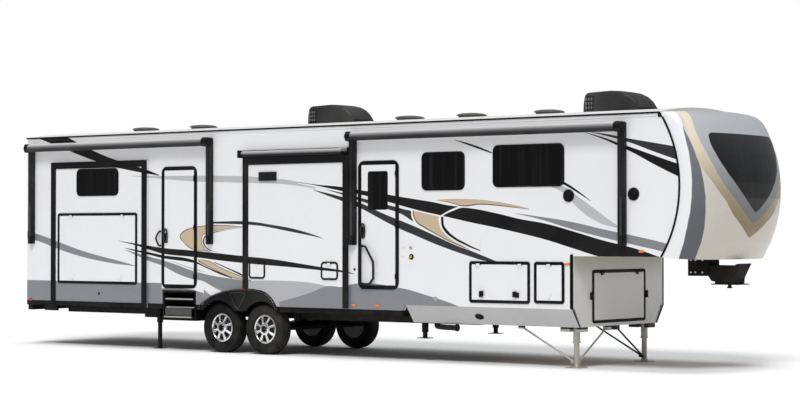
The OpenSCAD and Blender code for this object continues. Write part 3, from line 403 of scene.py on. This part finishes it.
# Below the spoke faces the alloy is painted near black: painted shade in the pockets between the spokes, where a real
# wheel is open.
pocket = paint.span(paint.math("ABSOLUTE", paint.y), 1.1325, 1.1365)
color = paint.mix(pocket, (.012, .012, .013), (.80, .80, .81))
materials["alloy_face"] = paint.finish(color, 0.16, 1, .03, .02, 120, .1)
paint.put(paint.bsdf.inputs["Metallic"], pocket)

paint = Paint("brace_metal")
# Above the legs' tubes the braces are black; on the far side they are painted black all over, painted shade under the
# trailer.
black_top_and_far_shade = paint.math("MAXIMUM", paint.span(paint.z, 0.535, 0.54), paint.span(paint.y, 0.0, 0.01))
materials["brace_metal"] = paint.finish(paint.mix(black_top_and_far_shade, (.46, .45, .42), BLACK_PART), 0.40, .2, .06, .05, 90)

paint = Paint("topper_trim")
lit = paint.math("MULTIPLY", paint.span(paint.z, 3.07, 3.128), paint.span(paint.math("ABSOLUTE", paint.y), 1.262, 1.264))
lit = paint.math("MULTIPLY", lit, paint.math("MAXIMUM", paint.between(paint.x, 5.01, 7.01),
                                             paint.between(paint.x, 5.95, 8.97)))
materials["topper_trim"] = paint.finish(paint.mix(lit, BLACK_PART, (.50, .50, .51)), 0.40, 0, .02, .05, 90)

paint = Paint("roof_edge")
edge = paint.span(paint.math("ABSOLUTE", paint.y), 1.2195, 1.2198)
color = paint.mix(edge, (.74, .74, .73), paint_bands(paint, paint.mix(1.0, WHITE, WHITE)))
materials["roof_edge"] = paint.finish(color, 0.6, 0, .05, .10, 25)

for name, color, rough, metal in (("plate_metal", (.075, .075, .077), .40, .5), ("lid_grey", (.09, .09, .092), .45, 0),
                                  ("shroud_grey", (.024, .024, .025), .42, 0), ("valve_yellow", (.62, .40, .02), .4, 0),
                                  ("coil_grey", (.16, .16, .165), .5, .3)):
    paint = Paint(name)
    materials[name] = paint.finish(paint.mix(1.0, color, color), rough, metal, .06, .08, 90)

paint = Paint("gloss_black")
materials["gloss_black"] = paint.finish(paint.mix(1.0, BLACK_PART, BLACK_PART), 0.12, 0, .02, .02, 60, .9)

special = {"landing_legs": "leg_metal", "leg_braces": "brace_metal", "middle_slide_trim": "topper_trim",
           "left_slide_trim": "topper_trim", "nose_wall": "nose_gelcoat", "nose_door": "nose_gelcoat"}
special.update({n: "slide_gelcoat" for n in ("rear_slide", "middle_slide", "left_slide", "galley_hatch",
                                                "access_door_a", "access_door_b")})
for name, obj in frame["nodes"].items():
    obj.data.materials.clear()
    obj.data.materials.append(materials[special.get(name, slot_of[name])])
print("slots:", {s: sum(v == s for v in slot_of.values()) for s in sorted(set(slot_of.values()))})

# %% [markdown]
# New pieces are surfaces on a grid: the first axis runs along one parameter, the second along the
# other. One helper turns a grid of points into a closed mesh.

# %% From a grid of points to a piece
def piece(name, grid, slot, body, wrap=(False, False), sharp=35.0, replaces=None, paint=None):
    """Make a mesh from a grid of points (rows, columns, 3), or a stack of grids (count, rows, columns, 3).
    A wrapped axis joins its last line to its first. Points that coincide, as at a pole, are merged."""
    grids = grid if grid.ndim == 4 else grid[None]
    count, rows, cols = grids.shape[:3]
    i = np.arange(rows if wrap[0] else rows - 1)[:, None]
    j = np.arange(cols if wrap[1] else cols - 1)[None]
    a, b = i * cols + j, i * cols + (j + 1) % cols
    c, d = (i + 1) % rows * cols + (j + 1) % cols, (i + 1) % rows * cols + j
    quads = np.stack([a, b, c, d], -1).reshape(-1, 4)
    quads = (quads[None] + np.arange(count)[:, None, None] * rows * cols).reshape(-1, 4)
    mesh = bpy.data.meshes.new(name)
    mesh.from_pydata(grids.reshape(-1, 3).tolist(), [], quads.tolist())
    bm = bmesh.new()
    bm.from_mesh(mesh)
    bmesh.ops.remove_doubles(bm, verts=bm.verts, dist=1e-5)
    bmesh.ops.holes_fill(bm, edges=bm.edges, sides=0)
    bmesh.ops.recalc_face_normals(bm, faces=bm.faces)
    bm.to_mesh(mesh)
    bm.free()
    mesh.shade_smooth()
    mesh.set_sharp_from_angle(angle=math.radians(sharp))
    obj = bpy.data.objects.new(name, mesh)
    bpy.context.scene.collection.objects.link(obj)
    mesh.materials.append(materials[paint or slot])
    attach(obj, body)
    if replaces:
        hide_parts(*replaces)
    return obj


def turned(profile, around, middle, outward, n=48):
    """Turn a profile of (radius, outward distance) pairs about a wheel's axis through middle."""
    turn = np.linspace(0, 2 * np.pi, n, endpoint=False)
    r, out = np.array(profile, float).T
    return np.stack([middle[0] + r[:, None] * np.cos(turn), middle[1] + outward * out[:, None] + 0 * turn,
                     middle[2] + r[:, None] * np.sin(turn)], -1)


# %% [markdown]
# A tyre is a closed ring. Its section is a rounded rectangle, and the tread is cut by lowering the
# radius where grooves run round and across.

# %% Tyres and alloy wheels
def tyre(middle, radius, bead, width, outward):
    """Section: radius = mid + h * |sin s| ** (2/3.4), width = w * |cos s| ** (2/3.4), signed as sin and cos.
    Tread: less radius where a wave round the tyre or a band across it dips."""
    s = np.concatenate([np.linspace(-np.pi, 0, 18, endpoint=False), np.linspace(0, .36, 8, endpoint=False),
                        np.linspace(.36, np.pi - .36, 35, endpoint=False), np.linspace(np.pi - .36, np.pi, 8,
                                                                                     endpoint=False)])
    turn = np.linspace(0, 2 * np.pi, 288, endpoint=False)[None]
    s = s[:, None]
    power = 2 / 3.4
    up = np.sign(np.sin(s)) * np.abs(np.sin(s)) ** power
    side = np.sign(np.cos(s)) * np.abs(np.cos(s)) ** power
    w = side * width / 2
    tread = np.clip((up - 0.93) / 0.04, 0, 1)
    ring = np.max([np.exp(-((w - k * width / 2) / 0.0045) ** 4) for k in (-.62, -.22, .22, .62)], 0)
    across = np.clip(np.cos(72 * turn + 9 * np.sin(w * 22)) * 3 - 2.1, 0, 1) * (np.abs(w) > width * .13)
    cut = np.maximum(ring + 0 * turn, across) * tread * 0.007
    r = (radius + bead) / 2 + up * (radius - bead) / 2 - cut
    return np.stack([middle[0] + r * np.cos(turn), middle[1] + outward * w + 0 * turn,
                     middle[2] + r * np.sin(turn)], -1)


def alloy(middle, radius, depth, outward):
    """Face: height = dish(r) - pocket * (1 - spoke), a spoke repeated eight times with a groove down it."""
    r = np.concatenate([[1e-4], np.linspace(.03, .86, 34), [.885, .91, .955, .985, 1.0]])[:, None] * radius
    turn = np.linspace(0, 2 * np.pi, 320, endpoint=False)[None]
    part = (turn * 8 / (2 * np.pi) + .12 * r / radius) % 1 - 0.5
    spoke = np.clip((0.30 - 0.13 * r / radius - np.abs(part)) / 0.035, 0, 1)
    spoke = spoke - 0.10 * np.exp(-(part / .035) ** 2)
    open_ring = np.clip((r / radius - .42) / .04, 0, 1) * np.clip((.87 - r / radius) / .03, 0, 1)
    rise = np.interp(r / radius, [0, .3, .36, .6, .86, .91, .955, 1], [.028, .028, .022, .014, .004, 0, .012, .01])
    out = rise - (1 - spoke) * open_ring * 0.055
    front = np.stack([middle[0] + r * np.cos(turn), middle[1] + outward * (depth / 2 - .03 + out),
                      middle[2] + r * np.sin(turn)], -1)
    back = turned([(radius, 0), (radius * .93, -depth / 2 + .02), (radius, -depth / 2), (radius * .55, -depth / 2),
                   (1e-4, -depth / 2)], "y", middle, outward, 320)
    return np.concatenate([front, back])


def nuts(middle, outward, ring, count, size, height, lift):
    """A ring of six-sided nuts standing on the wheel's face, as a stack of small grids."""
    turn = np.linspace(0, 2 * np.pi, count, endpoint=False)
    centres = np.stack([ring * np.cos(turn), 0 * turn + lift, ring * np.sin(turn)], -1)
    six = np.linspace(0, 2 * np.pi, 6, endpoint=False)
    levels = [(1e-5, 0), (size, 0), (size, height * .8), (size * .8, height), (1e-5, height)]
    head = np.stack([np.stack([r * np.cos(six), 0 * six + h, r * np.sin(six)], -1) for r, h in levels])
    points = centres[:, None, None] + head[None]
    points[..., 1] *= outward
    return points + np.array(middle)


for wheel in ("rear_right", "front_right", "rear_left", "front_left"):
    low, high = (np.array(c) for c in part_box("tyre_" + wheel))
    rim_low, rim_high = (np.array(c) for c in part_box("rim_" + wheel))
    middle, outward = (low + high) / 2, 1 if "left" in wheel else -1
    radius, width = (high[0] - low[0]) / 2, high[1] - low[1]
    rim = (rim_high[0] - rim_low[0]) / 2
    body = "wheel_" + wheel
    piece("tread_" + wheel, tyre(middle, radius, rim * .97, width, outward), "tyre_rubber", body,
          (True, True), 25, ["tyre_" + wheel])
    piece("alloy_" + wheel, alloy(middle, rim, width * .86, outward), "wheel_alloy", body, (False, True), 30,
          ["rim_" + wheel], "alloy_face")
    face = width * .43 - .03 + .024
    piece("nuts_" + wheel, nuts(middle, outward, rim * .25, 8, .011, .018, face), "bare_metal", body,
          (False, True), 30)
    hub = turned([(1e-4, face + .022), (.022, face + .020), (.028, face + .012), (.029, face - .004),
                  (1e-4, face - .004)], "y", middle, outward, 40)
    piece("cap_" + wheel, hub, "black_plastic", body, (False, True), 30)
print("wheels: radius %.3f, width %.3f, rim %.3f" % (radius, width, rim))

# %% [markdown]
# Two more helpers: a bar with rounded corners for steps and slats, and a tube that follows a path.

# %% Bars and tubes
def bars(lows, highs, r=0.006):
    """Rounded boxes between low and high corners, from six loops of eight points: on each end face one loop shrunk by
    nearly the smaller half size, which closes the face, and one shrunk by 0.4 * r; r inside each end face one shrunk by
    0.05 * r. Corners are cut by 0.4 * r."""
    low, high = np.atleast_2d(lows).astype(float), np.atleast_2d(highs).astype(float)
    half, mid = (high - low) / 2, (high + low) / 2
    r = np.minimum(r, half.min(1) * .9)
    turn = np.radians([-80, -10, 10, 80, 100, 170, 190, 260])
    cx, cy = np.sign(np.cos(turn)), np.sign(np.sin(turn))
    levels = [(-1, .999), (-1, .4), (-.6, .05), (.6, .05), (1, .4), (1, .999)]
    loops = []
    for up, cut in levels:
        shrink = np.where(cut > .9, half[:, :2].min(1) * .999, r * cut)
        x = cx[None] * (half[:, :1] - shrink[:, None] - r[:, None] * .4 * (np.abs(np.cos(turn)) < .5))
        y = cy[None] * (half[:, 1:2] - shrink[:, None] - r[:, None] * .4 * (np.abs(np.cos(turn)) > .5))
        z = up * half[:, 2:] + 0 * x if abs(up) == 1 else np.sign(up) * (half[:, 2] - r)[:, None] + 0 * x
        loops.append(np.stack([x, y, z], -1))
    return np.stack(loops, 1) + mid[:, None, None]


def tube(path, r, n=12):
    """Circles of radius r along a path, square to its tangent: p + r (cos a * n1 + sin a * n2)."""
    path = np.array(path, float)
    tangent = np.gradient(path, axis=0)
    tangent /= np.linalg.norm(tangent, axis=1)[:, None]
    ref = np.where(np.abs(tangent[:, 1:2]) < .9, [[0, 1, 0]], [[1, 0, 0]])
    n1 = np.cross(tangent, ref)
    n1 /= np.linalg.norm(n1, axis=1)[:, None]
    n2 = np.cross(tangent, n1)
    a = np.linspace(0, 2 * np.pi, n, endpoint=False)[None, :, None]
    return path[:, None] + r * (np.cos(a) * n1[:, None] + np.sin(a) * n2[:, None])


def smooth_path(points, count=40):
    """A cubic Hermite curve through the points, with each slope set from its neighbours."""
    pts = np.array(points, float)
    t = np.linspace(0, len(pts) - 1, count)
    k = np.minimum(t.astype(int), len(pts) - 2)
    f = (t - k)[:, None]
    slope = np.gradient(pts, axis=0)
    return ((2 * f ** 3 - 3 * f ** 2 + 1) * pts[k] + (f ** 3 - 2 * f ** 2 + f) * slope[k]
            + (3 * f ** 2 - 2 * f ** 3) * pts[k + 1] + (f ** 3 - f ** 2) * slope[k + 1])


def at(x, y, z):
    """A point given from the rear wall."""
    return (x - REAR, y, z)


# %% [markdown]
# The roof is a membrane with a crown, and its fittings stand on the crown: domed vent lids and two
# air conditioners whose shrouds fall towards the front.

# %% Roof, vents and air conditioners
low, high = (np.array(c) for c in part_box("roof"))
across = np.linspace(-1, 1, 33)
crown = high[2] - 0.042 + 0.105 * (1 - across ** 2)
section = np.stack([across * high[1], crown], -1)
section = np.concatenate([section, [[high[1], low[2] + .002], [low[1], low[2] + .002]]])
stations = np.linspace(low[0] + .001, high[0] - .001, 30)
piece("roof_skin", np.stack([np.column_stack([np.full(len(section), x), section]) for x in stations]),
      "roof_membrane", "trailer", (False, True), 30, ["roof"], "roof_edge")
TOP = crown.max()
vents = np.array([1.60, 2.94, 7.25, 8.42, 9.81]) - REAR
u = np.linspace(0, np.pi / 2, 9)[:, None]
v = np.linspace(0, 2 * np.pi, 48, endpoint=False)[None]
square = (np.abs(np.cos(v)) ** 5 + np.abs(np.sin(v)) ** 5) ** -.2
dome = np.stack([.19 * np.cos(u) ** .6 * square * np.cos(v), .19 * np.cos(u) ** .6 * square * np.sin(v),
                 .032 + .042 * np.sin(u) + 0 * v], -1)
skirt = np.stack([np.stack([.165 * square * np.cos(v), .165 * square * np.sin(v), z + 0 * v], -1)[0]
                  for z in (-.012, .03)])
lid = np.concatenate([skirt, dome])
piece("vent_lids", lid[None] + np.stack([vents, 0 * vents, 0 * vents + TOP], -1)[:, None, None],
      "black_plastic", "trailer", (False, True), 35, ["roof_vents"], "lid_grey")

low, high = (np.array(c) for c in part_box("air_conditioners"))
length = .905
s = np.linspace(0, 1, 40)[:, None]
t = np.linspace(-1, 1, 41)[None]
tall = high[2] - .002 - (TOP - .012)
rise = np.interp(s, [0, .02, .06, .45, .60, .72, .84, .93, 1], [.50, .86, .955, 1.0, .975, .90, .74, .52, .20])
wide = .30 * np.interp(s, [0, .05, .75, 1], [.93, 1, .99, .86])
bend = (1 - np.abs(t) ** 6) ** (1 / 6)
shroud = np.stack([low[0] + s * length + 0 * t, wide * np.sign(t) * np.abs(t) ** .55,
                   TOP - .012 + tall * rise * bend], -1)
gap = high[0] - length - low[0]
piece("shrouds", np.stack([shroud, shroud + [gap, 0, 0]]), "black_plastic", "trailer", (False, False), 30,
      ["air_conditioners"], "shroud_grey")
x0 = low[0] + np.array([0, gap])
fins = np.array([[x, side * .3015, z] for x in x0 for side in (-1, 1)
                 for z in (TOP + .055, TOP + .115, TOP + .175)])
piece("coil_cells", bars(fins - [-.045, .003, .020], fins + [.185, .003, .020]), "bare_metal", "trailer",
      (False, True), 30, paint="coil_grey")
slats = np.array([[x + d, side * .3025, TOP + .115] for x in x0 for side in (-1, 1)
                  for d in (.085, .13, .175)])
piece("shroud_bars", bars(slats - [.009, .006, .10], slats + [.009, .006, .10]), "black_plastic", "trailer",
      (False, True), 30)
print("roof crown", round(float(TOP), 3), "shroud height", round(float(tall), 3))

# %% [markdown]
# Awnings: each roller turns in a faceted head, and the arm's channel shows its inner arm.

# %% Awning heads
for name, x_pair in (("rear", (.085, 4.30)), ("front", (7.09, 11.868))):
    low, high = (np.array(c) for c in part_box(name + "_awning"))
    heads, arms = [], []
    for x, out in ((low[0], 1), (high[0], -1)):
        turn = np.linspace(0, 2 * np.pi, 10, endpoint=False) + .3
        levels = [(1e-4, -.004), (.070, -.004), (.082, .008), (.082, .105), (.07, .125), (1e-4, .125)]
        heads.append(np.stack([np.stack([x + out * h + 0 * turn, low[1] + .086 + r * np.cos(turn) * .98,
                                         3.300 + r * np.sin(turn) * .82], -1) for r, h in levels]))
        arms.append([x + out * .055, low[1] + .121, 2.5])
    piece(name + "_awning_heads", np.stack(heads), "black_trim", "trailer", (False, True), 25)
    arms = np.array(arms)
    piece(name + "_inner_arms", bars(arms - [.016, .006, .78], arms + [.016, .006, .66], .005), "black_trim",
          "trailer", (False, True), 30, paint="gloss_black")
print("awning heads lie out to", round(float(low[1]), 3))

# %% [markdown]
# Round the wheels: a rolled lip along each fender, a blank three-sided recess between the wheels and
# a small reflector above it.

# %% Fender lips
lip = np.array([(4.03, .67), (4.07, .745), (4.16, .80), (4.29, .872), (4.42, .918), (4.56, .952),
                (4.76, .982), (4.97, .993), (5.14, .99), (5.30, .974), (5.40, .945), (5.48, .90),
                (5.55, .84), (5.605, .77), (5.63, .69)])
lips = [tube(smooth_path(np.column_stack([lip[:, 0] - REAR, np.full(len(lip), side * 1.262), lip[:, 1]]), 90),
             .011, 10) for side in (-1, 1)]
piece("fender_lips", np.stack(lips), "black_plastic", "trailer", (False, True), 60, paint="gloss_black")
corner = np.array([(4.705, .93), (4.76, .945), (4.96, .945), (5.01, .93), (5.0, .90), (4.875, .71),
                   (4.845, .70), (4.81, .73), (4.71, .90)])
edge = np.column_stack([corner[:, 0] - REAR, np.full(len(corner), -1.262), corner[:, 1]])
ring = smooth_path(np.concatenate([edge, edge[:1]]), 73)[:-1]
rings = [tube(np.concatenate([ring, ring[:2]]) * [1, side, 1], .009, 8)[:-2] for side in (1, -1)]
piece("fender_recess", np.stack(rings), "black_plastic", "trailer", (True, True), 60, paint="gloss_black")
marks = np.array([at(4.95, side * 1.262, .998) for side in (-1, 1)])
piece("fender_reflectors", bars(marks - [.045, .006, .014], marks + [.045, .006, .014]), "red_lens", "trailer",
      (False, True), 30)
corners = np.array([at(.095, side * 1.222, .75) for side in (-1, 1)])
piece("rear_reflectors", bars(corners - [.03, .008, .022], corners + [.03, .008, .022]), "red_lens", "trailer",
      (False, True), 30)
print("lip points", len(lip), "recess corners", len(corner))

# %% [markdown]
# At the doors: bright nosings and a chequered plate on the step, an oval lever on each leaf and a
# bowed handle beside the rear door.

# %% Steps and handles
x0, x1 = 3.235, 3.885
nosing = np.array([at((x0 + x1) / 2, -1.249, z) for z in (.538, .688, .823)])
nosing[:, 1] += [.0, .056, .036]
piece("step_nosings", bars(nosing - [.30, .005, .011], nosing + [.30, .005, .011], .004), "bare_metal",
      "trailer", (False, True), 30)
i, j = np.meshgrid(np.linspace(0, 1, 120), np.linspace(0, 1, 28), indexing="ij")
chequer = np.clip(np.sin(i * 60) * np.sin(j * 14) * 3 - 1.6, 0, 1) * .003
face = np.stack([x0 + .04 - REAR + i * .57, -1.236 - chequer, .560 + j * .115], -1)
back = face * [1, 0, 1] + [0, -1.231, 0]
piece("step_plate", np.concatenate([face, back[:, ::-1]], 1), "bare_metal", "trailer", (False, True), 30,
      paint="plate_metal")
bow = smooth_path([at(3.15, -1.219, 1.90), at(3.145, -1.262, 1.885), at(3.115, -1.285, 1.80),
                   at(3.115, -1.285, 1.76), at(3.145, -1.262, 1.68), at(3.15, -1.219, 1.665)])
piece("entry_handle", tube(bow, .016), "black_trim", "trailer", (False, True), 60, ["wall_fittings"], "gloss_black")
for name, x, z in (("rear", 3.28, 1.83), ("front", 7.33, 1.90)):
    turn = np.linspace(0, 2 * np.pi, 49)[:-1]
    oval = np.column_stack([x + .036 * np.cos(turn) - REAR, np.full(48, -1.246), z + .105 * np.sin(turn)])
    ring = tube(np.concatenate([oval, oval[:2]]), .013, 10)[:-2]
    piece(name + "_lever_ring", ring, "black_trim", name + "_entry", (True, True), 60, paint="gloss_black")
low, high = (np.array(c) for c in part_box("wide_cargo_door"))
latches = np.array([low + (high - low) * [share, 0, .167] for share in (.19, .79)])
piece("cargo_latches", bars(latches - [.034, .008, .040], latches + [.034, .012, .040], .012), "black_trim",
      "wide_cargo", (False, True), 30)
print("step nosings", len(nosing), "plate points", face.shape[:2])

# %% [markdown]
# On the wall: two outdoor speakers with ringed grilles, and the service ports.

# %% Speakers and ports
grille = [(1e-4, .024)] + [(r, .024 - .003 * (k % 2)) for k, r in enumerate(np.linspace(.008, .066, 15))]
grille += [(.070, .026), (.078, .022), (.086, .014), (.088, .001), (.088, -.002), (1e-4, -.002)]
speakers = [turned(grille, "y", at(x, -1.22, z), -1, 48) for x, z in ((10.94, 2.38), (11.978, 2.39))]
piece("speakers", np.stack(speakers), "black_trim", "trailer", (False, True), 25)
button = [(1e-4, .016), (.55, .016), (.62, .012), (.80, .012), (.92, .010), (1, .004), (1, -.002), (1e-4, -.002)]
for name, x, z, r, slot, paint in (("water", 8.21, 1.654, .026, "bare_metal", None),
                                   ("cover_a", 8.08, 1.68, .030, "wall_gelcoat", "slide_gelcoat"),
                                   ("cover_b", 8.06, 1.549, .030, "wall_gelcoat", "slide_gelcoat"),
                                   ("cable", 8.22, 1.523, .042, "black_trim", None),
                                   ("outlet", 8.66, .92, .034, "bare_metal", None),
                                   ("keyhole", 7.16, 1.33, .018, "black_trim", None),
                                   ("spigot", 1.78, .88, .020, "black_trim", None)):
    face = 1.22 if x > 3 else 1.2555
    piece("port_" + name, turned([(a * r if a > .01 else a, h) for a, h in button], "y", at(x, -face, z), -1, 32),
          slot, "trailer" if x > 3 else "rear_room", (False, True), 30, paint=paint)
piece("port_cable_face", turned([(1e-4, .0175), (.020, .0175), (.021, .015), (1e-4, .015)], "y",
                                at(8.22, -1.22, 1.523), -1, 24), "amber_lens", "trailer", (False, True), 30,
      paint="valve_yellow")
lean = math.atan2(.188, .255)
tilt = np.array([[1, 0, 0], [0, math.cos(lean), math.sin(lean)], [0, -math.sin(lean), math.cos(lean)]])
disc = turned([(a * .05 if a > .01 else a, h) for a, h in button], "y", (0, 0, 0), -1, 32)
piece("port_chamfer", (disc * [1.5, 1, 1]) @ tilt + at(9.36, -1.117, .68), "black_trim", "trailer",
      (False, True), 30)
print("speakers", len(speakers), "rings in a grille", len(grille))

# %% [markdown]
# Underneath: the waste pipe with its cap, bolts on the hitch's box and its wings.

# %% Waste pipe and bolts
pipe = smooth_path([at(8.42, -.80, .62), at(8.46, -.92, .53), at(8.60, -1.0, .51), at(8.90, -1.03, .505)], 40)
piece("waste_pipe", tube(pipe, .040, 20), "black_plastic", "trailer", (False, True), 40)
ends = turned([(1e-4, 0), (.048, 0), (.052, .006), (.052, .03), (.046, .036), (1e-4, .036)], "y", (0, 0, 0), 1, 28)
piece("waste_cap", ends[..., [1, 0, 2]] + at(8.885, -1.03, .505), "black_trim", "trailer", (False, True), 30)
low, high = (np.array(c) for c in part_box("pin_box"))
spots = [(low[0] + .05, 1.50), (low[0] + .12, 1.50), (low[0] + .05, 1.33), (low[0] + .12, 1.33),
         (low[0] + .23, 1.50), (low[0] + .23, 1.33)]
wing = np.abs([v.co.y for v in frame["nodes"]["pin_box"].data.vertices if v.co.x < low[0] + .30]).max()
heads = []
for x, z in spots:
    for side in (-1, 1):
        six = np.linspace(0, 2 * np.pi, 6, endpoint=False)
        heads.append(np.stack([np.stack([x + r * np.cos(six), side * (wing + h) + 0 * six, z + r * np.sin(six)], -1)
                               for r, h in ((1e-4, -.001), (.016, -.001), (.016, .010), (.012, .013), (1e-4, .013))]))
piece("hitch_bolts", np.stack(heads), "bare_metal", "trailer", (False, True), 30)
print("hitch wings at", round(float(wing), 3))

# %% [markdown]
# The studio: a pale floor, a white surround seen only by the camera, a soft sky and one broad sun.

# %% Floor, light and camera
bpy.ops.mesh.primitive_plane_add(size=240, location=(0, 0, 0))
floor = bpy.context.object
floor.name = "studio_floor"
paint = Paint("studio_floor")
floor.data.materials.append(paint.finish(paint.mix(1.0, (.97, .97, .97), (.97, .97, .97)), 0.9, 0, 0.0, .01, 3,
                                         0, dust=0))

world = bpy.data.worlds.new("studio")
bpy.context.scene.world = world
world.use_nodes = True
tree = world.node_tree
seen = tree.nodes.new("ShaderNodeLightPath")
white = tree.nodes.new("ShaderNodeBackground")
white.inputs["Strength"].default_value = 1.0
sky = tree.nodes["Background"]
sky.inputs["Color"].default_value = (0.97, 0.985, 1.0, 1)
sky.inputs["Strength"].default_value = 0.36
choose = tree.nodes.new("ShaderNodeMixShader")
white.inputs["Color"].default_value = (1, 1, 1, 1)
tree.links.new(seen.outputs["Is Camera Ray"], choose.inputs[0])
tree.links.new(sky.outputs[0], choose.inputs[1])
tree.links.new(white.outputs[0], choose.inputs[2])
tree.links.new(choose.outputs[0], tree.nodes["World Output"].inputs[0])

sun = bpy.data.objects.new("sun", bpy.data.lights.new("sun", "SUN"))
sun.data.energy, sun.data.angle = 1.8, math.radians(20)
sun.rotation_euler = (math.radians(38), 0, math.radians(25))
bpy.context.scene.collection.objects.link(sun)
top = bpy.data.objects.new("top", bpy.data.lights.new("top", "SUN"))
top.data.energy, top.data.angle = 1.0, math.radians(16)
top.rotation_euler = (math.radians(4), math.radians(3), 0)
bpy.context.scene.collection.objects.link(top)

lens = bpy.data.cameras.new("camera")
lens.lens, lens.sensor_width, lens.clip_end = 92.70, 36.0, 500
camera = bpy.data.objects.new("camera", lens)
camera.location = (26.4435 - REAR, -24.9571, 1.8546)
camera.rotation_euler = (math.pi / 2 + 0.0165, 0, 0.6603)
bpy.context.scene.collection.objects.link(camera)
bpy.context.scene.camera = camera
bpy.context.scene.view_settings.view_transform = "Standard"
